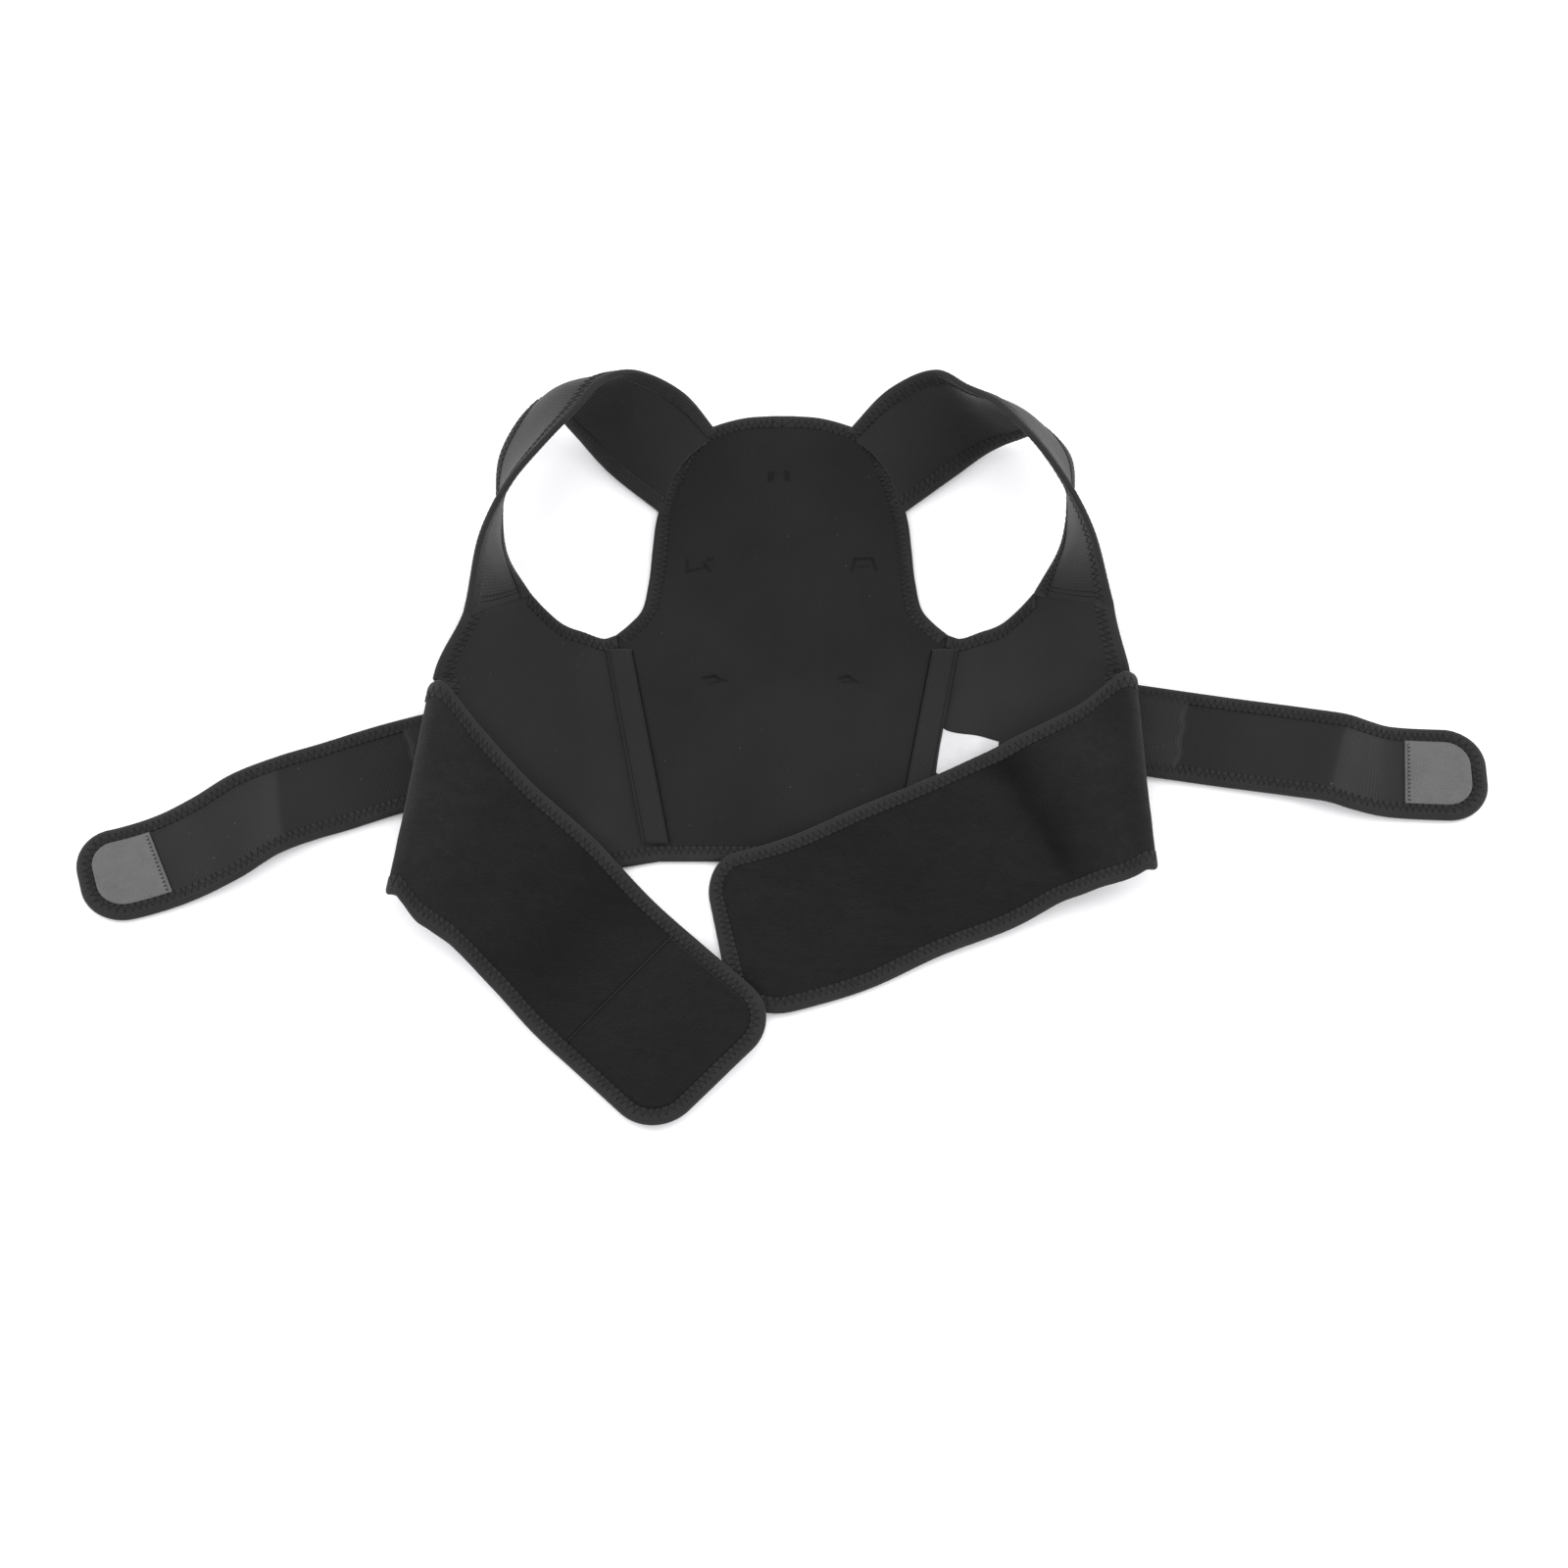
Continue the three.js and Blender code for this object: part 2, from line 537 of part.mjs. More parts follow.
function addBelt(wing) {
  const { side, place } = wing;
  const out = new THREE.Vector3(outward[side], 0, 0);
  const upward = new THREE.Vector3(0, 0, 1);
  const lift = upward.clone().multiplyScalar(CLOTH_THICK / 2);
  const foldFoot = place(1, 0).add(lift);
  const foldHead = place(1, FOLD_TOP_SHARE).add(lift);
  const foldMiddle = foldFoot.clone().lerp(foldHead, 0.5);
  const foldDirection = foldHead.clone().sub(foldFoot).normalize();
  const foldLength = foldHead.distanceTo(foldFoot);
  const arc = [
    [0, 0],
    [1, 1],
    [0, 2],
  ];
  const stations = arc.map(([outward, over]) => {
    const point = foldMiddle.clone().addScaledVector(out, outward * FOLD_RADIUS);
    point.addScaledVector(upward, over * FOLD_RADIUS);
    return { middle: point, across: foldDirection, width: foldLength };
  });
  for (const row of BELT[side]) {
    const x = foldMiddle.x - outward[side] * row.inward * BELT_LENGTH;
    const y = foldMiddle.y - row.down * BELT_LENGTH;
    const middle = new THREE.Vector3(x, y, row.high * SIDE_HEIGHT);
    stations.push({ middle, across: widthDirection(row.turn, row.tilt, side) });
  }
  const ribbon = makeRibbon(stations, BELT_WIDTH, BELT_WIDTH);
  const facing = -outward[side];
  const foldEnd = FOLD_RUN_SHARE * Math.PI * FOLD_RADIUS;
  const straight = evenly(FOLD_CLEARANCE, foldEnd, 8);
  straight.push(...evenly(foldEnd, ribbon.length - BELT_TIP_RADIUS, 13).slice(1));
  const rows = tipRows(ribbon, TAPE_WIDTH + 3 * SEAM_GAP, straight, BELT_TIP_RADIUS);
  const cloth = shell(ribbonGrid(ribbon, rows, 6), -CLOTH_THICK / 2, CLOTH_THICK / 2, facing);
  addPiece(`belt_${side}`, cloth, MATERIALS.plush);
  const tape = tipBindingGrid(ribbon, straight, BELT_TIP_RADIUS);
  addPiece(`belt_binding_${side}`, shell(tape, -TAPE_THICK / 2, TAPE_THICK / 2, facing), MATERIALS.tape);
  return ribbon;
}

function addBeltPatch(ribbon) {
  const start = ribbon.length - TAPE_WIDTH - PATCH_LENGTH;
  const straight = evenly(start, ribbon.length - BELT_TIP_RADIUS, 4);
  const rows = tipRows(ribbon, TAPE_WIDTH + SEAM_GAP, straight, BELT_TIP_RADIUS);
  const low = CLOTH_THICK / 2 + GAP;
  const patch = shell(ribbonGrid(ribbon, rows, 6), low, low + PATCH_THICK, -outward.left);
  addPiece("belt_patch", patch, MATERIALS.plush);
}

function addTensionStrap(wing) {
  const { side } = wing;
  const rootY = upToY(tensionRootShare[side]);
  const root = new THREE.Vector3(casingOut(rootY) + TENSION_ROOT_SETBACK, rootY, TAPE_THICK / 2);
  const stations = TENSION[side].map((row) => {
    const x = root.x + row.out * TENSION_LENGTH;
    const middle = new THREE.Vector3(x, root.y - row.down * TENSION_LENGTH, root.z + row.high * HUMP_HEIGHT);
    middle.z += GAP;
    return { middle: mirrored(middle, side), across: widthDirection(row.turn, 0, side) };
  });
  const ribbon = makeRibbon(stations, TENSION_WIDTH, TENSION_WIDTH);
  const facing = outward[side];
  const straight = evenly(0, ribbon.length - TENSION_TIP_RADIUS, 22);
  const rows = tipRows(ribbon, TAPE_WIDTH + SEAM_GAP, straight, TENSION_TIP_RADIUS);
  const cloth = shell(ribbonGrid(ribbon, rows, 3), -CLOTH_THICK / 2, CLOTH_THICK / 2, facing);
  addPiece(`tension_strap_${side}`, cloth, MATERIALS.foam);
  const tape = tipBindingGrid(ribbon, straight, TENSION_TIP_RADIUS);
  addPiece(`tension_binding_${side}`, shell(tape, -TAPE_THICK / 2, TAPE_THICK / 2, facing), MATERIALS.tape);

  const tabStart = ribbon.length - TAPE_WIDTH - TAB_LENGTH;
  const tabStraight = evenly(tabStart, ribbon.length - TENSION_TIP_RADIUS, 3);
  const tabRows = tipRows(ribbon, TAPE_WIDTH + SEAM_GAP, tabStraight, TENSION_TIP_RADIUS);
  const low = CLOTH_THICK / 2 + GAP;
  const tab = shell(ribbonGrid(ribbon, tabRows, 3), low, low + TAB_THICK, facing);
  addPiece(`hook_tab_${side}`, tab, MATERIALS.hook);
}

const wings = { left: makeWing("left"), right: makeWing("right") };
addPanel();
for (const wing of Object.values(wings)) {
  addWing(wing);
  addShoulderStrap(wing);
  addTensionStrap(wing);
}
addHem(wings);
addLabel(wings.right);
const belts = { left: addBelt(wings.left), right: addBelt(wings.right) };
addBeltPatch(belts.left);

export default device;
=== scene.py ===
import math
import bmesh
import bpy
import numpy as np
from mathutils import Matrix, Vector


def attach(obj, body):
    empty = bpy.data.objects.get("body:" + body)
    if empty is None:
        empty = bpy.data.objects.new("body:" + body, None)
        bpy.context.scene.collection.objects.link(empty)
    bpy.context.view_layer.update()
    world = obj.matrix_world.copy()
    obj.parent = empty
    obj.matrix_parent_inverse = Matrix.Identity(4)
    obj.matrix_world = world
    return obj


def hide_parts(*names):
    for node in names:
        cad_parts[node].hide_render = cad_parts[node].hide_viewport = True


# A posture corrector lying open: cloth sheets, knitted tape, zigzag stitching, hook tabs and a bare label.
# The surfaces are worked out in millimetres and written as metres.

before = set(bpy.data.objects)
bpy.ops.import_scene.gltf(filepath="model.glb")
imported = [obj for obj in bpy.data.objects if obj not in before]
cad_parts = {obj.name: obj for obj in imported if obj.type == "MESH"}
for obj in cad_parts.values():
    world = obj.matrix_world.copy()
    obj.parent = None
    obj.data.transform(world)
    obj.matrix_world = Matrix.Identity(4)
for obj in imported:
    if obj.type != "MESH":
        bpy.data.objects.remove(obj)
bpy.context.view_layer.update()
MM = 0.001

# Sizes of the cloth pieces
CLOTH_THICK, TAPE_WIDTH, TAPE_THICK = 3.0, 10.0, 4.4
PANEL_LENGTH, HEM_TO_ORIGIN, PANEL_HALF_WIDTH, WING_WIDTH, SIDE_HEIGHT = 345.0, 138.0, 109.0, 130.0, 42.0
CASING_WIDTH, CASING_THICK = 17.0, 2.2
LABEL_WIDTH, LABEL_HEIGHT = 38.0, 34.0
STRAP_ROOT_WIDTH, STRAP_END_WIDTH, ROOT_CLEARANCE, ROOT_BULGE = 76.0, 58.0, 4.5, 10.0
LOOP_SPREAD, LOOP_HEIGHT = 100.0, 60.0
BELT_WIDTH, BELT_LENGTH, BELT_TIP_RADIUS, FOLD_RADIUS = 116.0, 300.0, 30.0, 6.0
PATCH_LENGTH = 80.0
TENSION_WIDTH, TENSION_LENGTH, TENSION_TIP_RADIUS = 67.0, 330.0, 27.0
TENSION_ROOT_SETBACK, HUMP_HEIGHT, TAB_LENGTH = 36.0, 10.0, 43.0
GAP = 0.3
CASING_FOOT_SHARE, STRAP_ARM_SHARE, STRAP_NECK_SHARE = 0.715, 0.4545, 0.818
STRAP_SEAM_SHARE, FOLD_TOP_SHARE, FOOT_RAMP_SHARE = 0.58, 0.72, 0.15
LABEL_TOP_SHARE, LABEL_SLOPE_SHARE = 0.585, 0.4
# How far a cloth's rim stops inside its tape, how far a strap's root runs in under the panel,
# and along how much of its end a strap bends to the wing
CLOTH_INSET, ROOT_TUCK, STRAP_END_RUN = 2.5, 8.0, 48.0
# Stitches of a seam: from one to the next, and the space between two
SEAM_PITCH, SEAM_GAP = 2.4, 0.5
UP = np.array([0, 0, 1.0])
# Lower and upper face of each layer, measured from the surface it follows
LAYER = {
    "panel": (0.5, 3.7), "wing": (0.75, 3.65), "casing": (3.4, 4.3), "strap": (-1.5, 1.5),
    "belt": (-1.5, 1.7), "patch": (1.2, 2.3), "tab": (1.2, 2.6), "label": (3.75, 4.2),
}

PANEL_EDGE = [
    (1.0, 0.49), (0.92, 0.515), (0.85, 0.545), (0.81, 0.61), (0.79, 0.69), (0.77, 0.755),
    (0.7, 0.845), (0.6, 0.925), (0.48, 0.965), (0.385, 0.98), (0.23, 0.995), (0.055, 1.0),
]
ARMHOLE_EDGE = [(0, 0.49), (0.07, 0.481), (0.165, 0.487), (0.265, 0.502), (0.355, 0.53), (0.44, 0.563)]
# At, out, up, high
SIDE_EDGE = {
    "left": [
        (0, 1.0, -0.088, 0.33), (0.72, 0.845, 0.322, 0.64),
        (0.86, 0.815, 0.397, 0.83), (1, 0.755, 0.475, 1),
    ],
    "right": [
        (0, 0.91, -0.038, 0.33), (0.72, 0.855, 0.342, 0.64),
        (0.86, 0.845, 0.397, 0.81), (1, 0.825, 0.493, 0.93),
    ],
}
# At, out, up, high, turn, tilt
LOOP = {
    "left": [
        (0, 0, 0, 0, 118, 3), (0.13, 0.13, 0.36, 0.24, 141, 27), (0.26, 0.24, 0.65, 0.43, 166, 51),
        (0.35, 0.31, 0.75, 0.58, 200, 50), (0.44, 0.34, 0.69, 0.64, 212, 45),
        (0.57, 0.38, 0.54, 0.54, 215, 52), (0.7, 0.34, 0.37, 0.37, 246, 68),
        (0.83, 0.24, 0.2, 0.16, 298, 66), (1, 0, 0, 0, 327, 32),
    ],
    "right": [
        (0, 0, 0, 0, 118, 3), (0.13, 0.15, 0.35, 0.25, 133, 26), (0.26, 0.25, 0.6, 0.37, 146, 50),
        (0.35, 0.32, 0.65, 0.43, 177, 57), (0.44, 0.38, 0.65, 0.55, 199, 55),
        (0.57, 0.41, 0.53, 0.58, 211, 57), (0.7, 0.35, 0.37, 0.45, 246, 69),
        (0.83, 0.24, 0.22, 0.22, 304, 64), (1, 0, 0, 0, 328, 30),
    ],
}
# Inward, down, high, turn, tilt
BELT = {
    "left": [
        (0.06, 0.085, 0.66, 104, 3), (0.155, 0.175, 0.47, 111, 3), (0.27, 0.28, 0.27, 121, 3),
        (0.375, 0.395, 0.15, 129, 1), (0.466, 0.485, 0.14, 133, 2), (0.556, 0.575, 0.18, 134, 3),
        (0.638, 0.656, 0.2, 134, 3),
    ],
    "right": [
        (0.075, 0.05, 0.72, 100, 3), (0.205, 0.1, 0.42, 107, 3), (0.33, 0.162, 0.27, 113, 4),
        (0.5, 0.232, 0.19, 116, 2), (0.65, 0.305, 0.15, 116, 3), (0.77, 0.344, 0.13, 109, 2),
        (0.88, 0.369, 0.11, 101, 2),
    ],
}
# Out, down, high, turn
TENSION = {
    "left": [
        (0, 0, 0, 73), (0.18, 0.055, 0, 73), (0.355, 0.107, 0, 73), (0.47, 0.15, 0.05, 71),
        (0.54, 0.178, 0.25, 66), (0.615, 0.22, 0.65, 59), (0.685, 0.27, 0.55, 58), (0.76, 0.307, 0.15, 65),
        (0.835, 0.334, 0, 70), (0.945, 0.362, 0, 74),
    ],
    "right": [
        (0, 0, 0, 80), (0.18, 0.03, 0, 80), (0.345, 0.058, 0, 80), (0.46, 0.078, 0.05, 80),
        (0.605, 0.105, 0.3, 77), (0.675, 0.125, 0.7, 74), (0.72, 0.138, 0.5, 77), (0.77, 0.146, 0.15, 84),
        (0.905, 0.152, 0, 89), (0.965, 0.153, 0, 90),
    ],
}
TENSION_ROOT = {"left": 0.3, "right": 0.328}
# How a belt's lower edge settles past the fold: run along the belt, push down the belt's width, drop
BELT_CORNER = {
    "left": [
        (0, 0, 0), (8, 3.5, 0), (13, 6, -2), (19, 7, -4.4), (28, 4.2, -5.2), (42, 0.5, -4.4),
        (60, -2, -2.5), (85, -1.5, -0.5), (120, 0, 0),
    ],
    "right": [
        (0, 0, 0), (8, 3, 0), (14, 5, -2), (22, 5.5, -5), (32, 4.5, -6), (45, 3, -5),
        (62, 1.5, -2.5), (95, 0, 0), (130, 0, 0),
    ],
}
# Bends across a belt: run along the belt, spread and height, below zero for a valley
BELT_BENDS = {
    "left": [(165, 26, -2.2), (235, 26, 1.0), (112, 16, 1.5)],
    "right": [(87, 12, -4.8), (121, 18, 1.2), (195, 30, -1.4)],
}
# Bands of painted light and shade across a belt, light near the fold and dark in its valleys: run along the
# belt, spread and strength
BELT_PAINTED_SHADING = {
    "left": [(22, 42, 0.95), (165, 34, -0.4), (235, 26, 0.1)],
    "right": [(42, 22, 0.6), (87, 14, -0.75), (195, 34, -0.25)],
}
# How far the bends and bands slant, as run for each millimetre across
BELT_SLANT = {"left": 0.06, "right": -0.19}
# Where a tension strap's root layer ends, where its hump's crest lies, and the crest's slant
TENSION_SEAM = {"left": (108, 200, 0.35), "right": (125, 227, 0.0)}
# How far a wing's side edge flares out just above its fold
FLARE = {"left": 8.0, "right": 5.5}
# Where a loop bows out between its edges: run along the strap, its spread, and the push out, up and high
STRAP_CROWN = {"left": (100, 24, (5.0, 4.5, 4.5)), "right": (112, 22, (3.0, 3.0, 3.0))}
# Quilted folds that slant up a wing: share across at the foot, lean, spread and height
WING_FOLDS = [(0.3, 0.08, 0.07, 1.6), (0.44, 0.1, 0.08, -0.9)]
MIRROR = {"left": -1.0, "right": 1.0}

# ---- camera and lights


def add_object(name, data):
    item = bpy.data.objects.new(name, data)
    bpy.context.scene.collection.objects.link(item)
    return item


TARGET = Vector((0.0013, -0.080, 0.0))
ELEVATION = math.radians(60)
DISTANCE = 2.5
camera_data = bpy.data.cameras.new("camera")
camera = add_object("camera", camera_data)
camera.location = TARGET + DISTANCE * Vector((0, -math.cos(ELEVATION), math.sin(ELEVATION)))
camera.rotation_euler = (math.pi / 2 - ELEVATION, 0, 0)
camera_data.sensor_width = 36
camera_data.lens = 36 * DISTANCE / 1.008
bpy.context.scene.camera = camera

for name, place, size, power in (
    ("left_light", (-1.7, 0.5, 0.8), (0.9, 1.6), 19), ("right_light", (1.7, 0.5, 0.8), (0.9, 1.6), 19),
    ("front_light", (0.0, -2.2, 1.5), (2.0, 1.2), 25), ("top_light", (0.0, 0.2, 2.6), (2.4, 2.4), 17),
):
    light_data = bpy.data.lights.new(name, "AREA")
    light_data.shape = "RECTANGLE"
    light_data.size, light_data.size_y = size
    light_data.energy = power
    light = add_object(name, light_data)
    light.location = place
    light.rotation_euler = (-Vector(place)).to_track_quat("-Z", "Y").to_euler()

# ---- surfaces


def unit(v):
    return v / np.maximum(np.linalg.norm(v, axis=-1, keepdims=True), 1e-12)


def smooth(t, low, high):
    t = np.clip((t - low) / (high - low), 0, 1)
    return t * t * (3 - 2 * t)


def bell(x, spread):
    return np.exp(-((x / spread) ** 2))


def run_along(line):
    """The distance travelled at each of a line's points."""
    return np.r_[0, np.cumsum(np.linalg.norm(np.diff(line, axis=0), axis=1))]


class Curve:
    """A centripetal Catmull-Rom curve through points."""

    def __init__(self, points):
        p = np.asarray(points, float)
        self.rows = np.vstack([2 * p[0] - p[1], p, 2 * p[-1] - p[-2]])
        self.count = len(p)
        self.t = np.linspace(0, 1, 201)
        self.run = run_along(self.at(self.t))
        self.length = self.run[-1]

    def at(self, t):
        s = np.clip(np.asarray(t, float), 0, 1) * (self.count - 1)
        k = np.minimum(s.astype(int), self.count - 2)
        w = (s - k)[..., None]
        p0, p1, p2, p3 = (self.rows[k + i] for i in range(4))
        d0, d1, d2 = (
            np.maximum(np.sqrt(np.linalg.norm(b - a, axis=-1, keepdims=True)), 1e-4)
            for a, b in ((p0, p1), (p1, p2), (p2, p3))
        )
        t1 = ((p1 - p0) / d0 - (p2 - p0) / (d0 + d1) + (p2 - p1) / d1) * d1
        t2 = ((p2 - p1) / d1 - (p3 - p1) / (d1 + d2) + (p3 - p2) / d2) * d1
        return p1 + t1 * w + (3 * (p2 - p1) - 2 * t1 - t2) * w**2 + (2 * (p1 - p2) + t1 + t2) * w**3

    def tangent(self, t):
        t = np.asarray(t, float)
        return unit(self.at(t + 1e-4) - self.at(t - 1e-4))

    def by_length(self, distance):
        return np.interp(distance, self.run, self.t)


def up_to_y(up):
    return up * PANEL_LENGTH - HEM_TO_ORIGIN


def casing_out(y):
    share = (y + HEM_TO_ORIGIN) / (PANEL_EDGE[0][1] * PANEL_LENGTH)
    return PANEL_HALF_WIDTH * (CASING_FOOT_SHARE + (1 - CASING_FOOT_SHARE) * share)


PANEL_CURVE = Curve([(out * PANEL_HALF_WIDTH, up_to_y(up), 0) for out, up in PANEL_EDGE])


def panel_edge(at, inset):
    tangent = PANEL_CURVE.tangent(at)
    side = np.stack([-tangent[..., 1], tangent[..., 0], 0 * tangent[..., 0]], -1)
    return PANEL_CURVE.at(at) + side * np.asarray(inset)[..., None]


def read_rows(rows, at):
    """Cubic through a table's rows, by their first column."""
    rows = np.asarray(rows, float)
    k = np.clip(np.searchsorted(rows[:, 0], at, side="right") - 1, 0, len(rows) - 2)
    before, start, end = rows[np.maximum(k - 1, 0)], rows[k], rows[k + 1]
    after = rows[np.minimum(k + 2, len(rows) - 1)]
    span = (end[..., 0] - start[..., 0])[..., None]
    t = ((at - start[..., 0]) / span[..., 0])[..., None]
    slope0 = (end - before) / (end[..., :1] - before[..., :1]) * span
    slope1 = (after - start) / (after[..., :1] - start[..., :1]) * span
    bend = 2 * start - 2 * end + slope0 + slope1
    pull = 3 * end - 3 * start - 2 * slope0 - slope1
    return start + t * (slope0 + t * (pull + t * bend))


class Wing:
    """Underside of a wing: u runs from the casing to the outer edge, v from the hem to the strap."""

    def __init__(self, side):
        self.side, self.mirror = side, MIRROR[side]
        self.rows = np.array(SIDE_EDGE[side], float)
        self.foot, self.head = (self.row_point(row) for row in self.rows[:2])
        edge = [(PANEL_HALF_WIDTH + out * WING_WIDTH, up_to_y(up), 0) for out, up in ARMHOLE_EDGE]
        self.armhole = Curve(edge)

    def row_point(self, row):
        row = np.asarray(row)
        x = PANEL_HALF_WIDTH + row[..., 1] * WING_WIDTH
        return np.stack([x, up_to_y(row[..., 2]), row[..., 3] * SIDE_HEIGHT], -1)

    def side_point(self, v):
        v = np.asarray(v, float)
        low = self.foot + (self.head - self.foot) * (v / FOLD_TOP_SHARE)[..., None]
        high = self.row_point(read_rows(self.rows[1:], np.maximum(v, FOLD_TOP_SHARE)))
        return np.where((v <= FOLD_TOP_SHARE)[..., None], low, high)

    def top_point(self, u):
        u = np.asarray(u, float)
        low = self.armhole.at(u / STRAP_SEAM_SHARE)
        start, end = self.armhole.at(1.0), self.side_point(1.0)
        high = start + (end - start) * ((u - STRAP_SEAM_SHARE) / (1 - STRAP_SEAM_SHARE))[..., None]
        return np.where((u <= STRAP_SEAM_SHARE)[..., None], low, high)

    def place(self, u, v):
        u, v = np.broadcast_arrays(np.asarray(u, float), np.asarray(v, float))
        a, b = u[..., None], v[..., None]
        hem_start = np.array([casing_out(-HEM_TO_ORIGIN), -HEM_TO_ORIGIN, 0])
        side_foot, top_start, top_end = self.side_point(0.0), self.top_point(0.0), self.top_point(1.0)
        point = (hem_start + (top_start - hem_start) * b) * (1 - a) + self.side_point(v) * a
        point = point + (hem_start + (side_foot - hem_start) * a) * (1 - b) + self.top_point(u) * b
        point = point - hem_start * (1 - a) * (1 - b) - side_foot * a * (1 - b)
        point = point - top_start * (1 - a) * b - top_end * a * b
        low, high = (CASING_WIDTH / 2 + GAP) / WING_WIDTH, (TENSION_ROOT_SETBACK - GAP) / WING_WIDTH
        raised = (TAPE_THICK + 3 * GAP) * smooth(u, low, high) * smooth(v, 0, FOOT_RAMP_SHARE)
        point[..., 2] = raised + (self.side_point(v)[..., 2] - raised) * u**3
        x, y = point[..., 0], point[..., 1]
        wave = 1.3 * np.sin(x * 0.055 + y * 0.021 + 0.6) * np.sin(y * 0.05 + 1.1)
        wave = wave + sum(high * bell(u - at + lean * v, spread) for at, lean, spread, high in WING_FOLDS)
        point[..., 2] += wave * np.clip(u * (1 - u) * 4, 0, 1) * np.clip(v * (1 - v) * 4, 0, 1)
        above_fold = smooth(v, FOLD_TOP_SHARE, FOLD_TOP_SHARE + 0.045)
        over_fold = above_fold * smooth(FOLD_TOP_SHARE + 0.28 - v, 0, 0.24)
        point[..., 0] += FLARE[self.side] * over_fold * u**4
        point[..., 0] *= self.mirror
        return point

    def normal(self, u, v, eps=0.003):
        along = self.place(np.minimum(u + eps, 1), v) - self.place(np.maximum(u - eps, 0), v)
        across = self.place(u, np.minimum(v + eps, 1)) - self.place(u, np.maximum(v - eps, 0))
        return unit(np.cross(along, across)) * self.mirror

    def width_at(self, v):
        return np.linalg.norm(self.place(1, v) - self.place(0, v), axis=-1)

    def length_at(self, u):
        return np.linalg.norm(self.place(u, 1) - self.place(u, 0), axis=-1)


class Ribbon:
    """A ribbon through middle points, each with the direction of its width."""

    def __init__(self, middles, acrosses, start, end, radius=0.0, widths={}):
        self.middle = Curve(middles)
        self.start, self.end, self.radius, self.length = start, end, radius, self.middle.length
        self.crease = self.fit = None
        t = np.linspace(0, 1, len(middles))
        acrosses = np.asarray(acrosses, float)
        slant = np.linalg.norm(np.cross(acrosses, self.middle.tangent(t)), axis=-1)
        width = (start + (end - start) * t) / slant
        for index, fixed in widths.items():
            width[index] = fixed
        middles = np.asarray(middles, float)
        self.edges = [Curve(middles + acrosses * (side * width)[:, None]) for side in (-0.5, 0.5)]

    def width_at(self, distance):
        return self.start + (self.end - self.start) * np.asarray(distance) / self.length

    def place(self, distance, offset):
        wanted = np.asarray(distance, float)
        distance = np.clip(wanted, 0, self.length)
        t = self.middle.by_length(distance)
        share = (0.5 + offset / self.width_at(distance))[..., None]
        low, high = self.edges[0].at(t), self.edges[1].at(t)
        point = low + (high - low) * share + self.middle.tangent(t) * (wanted - distance)[..., None]
        if self.crease:
            point[..., 2] += self.crease(distance, offset)
        if self.fit:
            point = point + self.fit(distance, share[..., 0])
        return point

    def frame(self, a, b, eps=0.4):
        """Points and their normals."""
        along = self.place(a + eps, b) - self.place(a - eps, b)
        across = self.place(a, b + eps) - self.place(a, b - eps)
        return self.place(a, b), unit(np.cross(along, across))

    def path(self, inset, step, start):
        """Distances and offsets round the free edges and the rounded tip, at one inset."""
        radius, half, corner = self.radius, self.start / 2, self.length - self.radius
        straight = np.linspace(start, corner, max(int((corner - start) / step), 2))
        angle = np.linspace(0, math.pi / 2, max(int(radius * 1.6 / step), 4))[1:]
        tip = np.linspace(1, 0, max(int((half - radius) / step), 2))[1:]
        reach = radius - inset
        distance = np.r_[straight, corner + reach * np.sin(angle), np.full(len(tip), corner + reach)]
        round_tip = half - radius + reach * np.cos(angle)
        offset = np.r_[np.full(len(straight), half - inset), round_tip, (half - radius) * tip]
        return np.r_[distance, distance[-2::-1]], np.r_[offset, -offset[-2::-1]]


def direction(turn, tilt, side):
    turn, tilt = math.radians(turn), math.radians(tilt)
    return [MIRROR[side] * math.cos(tilt) * math.cos(turn), math.cos(tilt) * math.sin(turn), math.sin(tilt)]


WINGS = {side: Wing(side) for side in MIRROR}


def strap_ribbon(side):
    wing, mirror = WINGS[side], MIRROR[side]
    turn_over = np.array([mirror, 1, 1])
    root_arm, root_neck = (PANEL_CURVE.at(share) * turn_over for share in (STRAP_ARM_SHARE, STRAP_NECK_SHARE))
    lift = np.array([0, 0, TAPE_THICK / 2])
    root = (root_arm + root_neck) / 2 + lift
    seam = [wing.place(STRAP_SEAM_SHARE, 1), wing.place(1, 1)]
    end = (seam[0] + seam[1]) / 2 + lift
    middles, acrosses = [], []
    for at, out, up, high, turn, tilt in LOOP[side]:
        bow = np.array([mirror * out * LOOP_SPREAD, up * LOOP_SPREAD, high * LOOP_HEIGHT])
        middles.append(root + (end - root) * at + bow)
        acrosses.append(direction(turn, tilt, side))
    acrosses[0] = unit(root_neck - root_arm)
    acrosses[-1] = unit(seam[1] - seam[0])
    ribbon = Ribbon(middles, acrosses, STRAP_ROOT_WIDTH, STRAP_END_WIDTH)
    low, high = (edge.at(1.0) for edge in ribbon.edges)
    crown_at, crown_wide, crown = STRAP_CROWN[side]
    crown = turn_over * crown

    def fit(distance, share):
        """Bows the loop out, and brings the strap's end onto the wing's curved seam."""
        share = np.clip(share, 0, 1)
        u = STRAP_SEAM_SHARE + (1 - STRAP_SEAM_SHARE) * share
        seam_line = wing.place(u, 1) + wing.normal(u, np.ones(u.shape)) * TAPE_THICK / 2
        near_end = smooth(distance, ribbon.length - STRAP_END_RUN, ribbon.length)
        pull = (seam_line - (low + (high - low) * share[..., None])) * near_end[..., None]
        bow = bell(distance - crown_at, crown_wide) * 4 * share * (1 - share)
        return pull + crown * bow[..., None]

    ribbon.fit = fit
    return ribbon


def belt_bands(rows, side, distance, offset):
    """The sum of a table's bands across a belt, each slanted."""
    along = distance + BELT_SLANT[side] * offset
    return sum(height * bell(along - at, spread) for at, spread, height in rows[side])
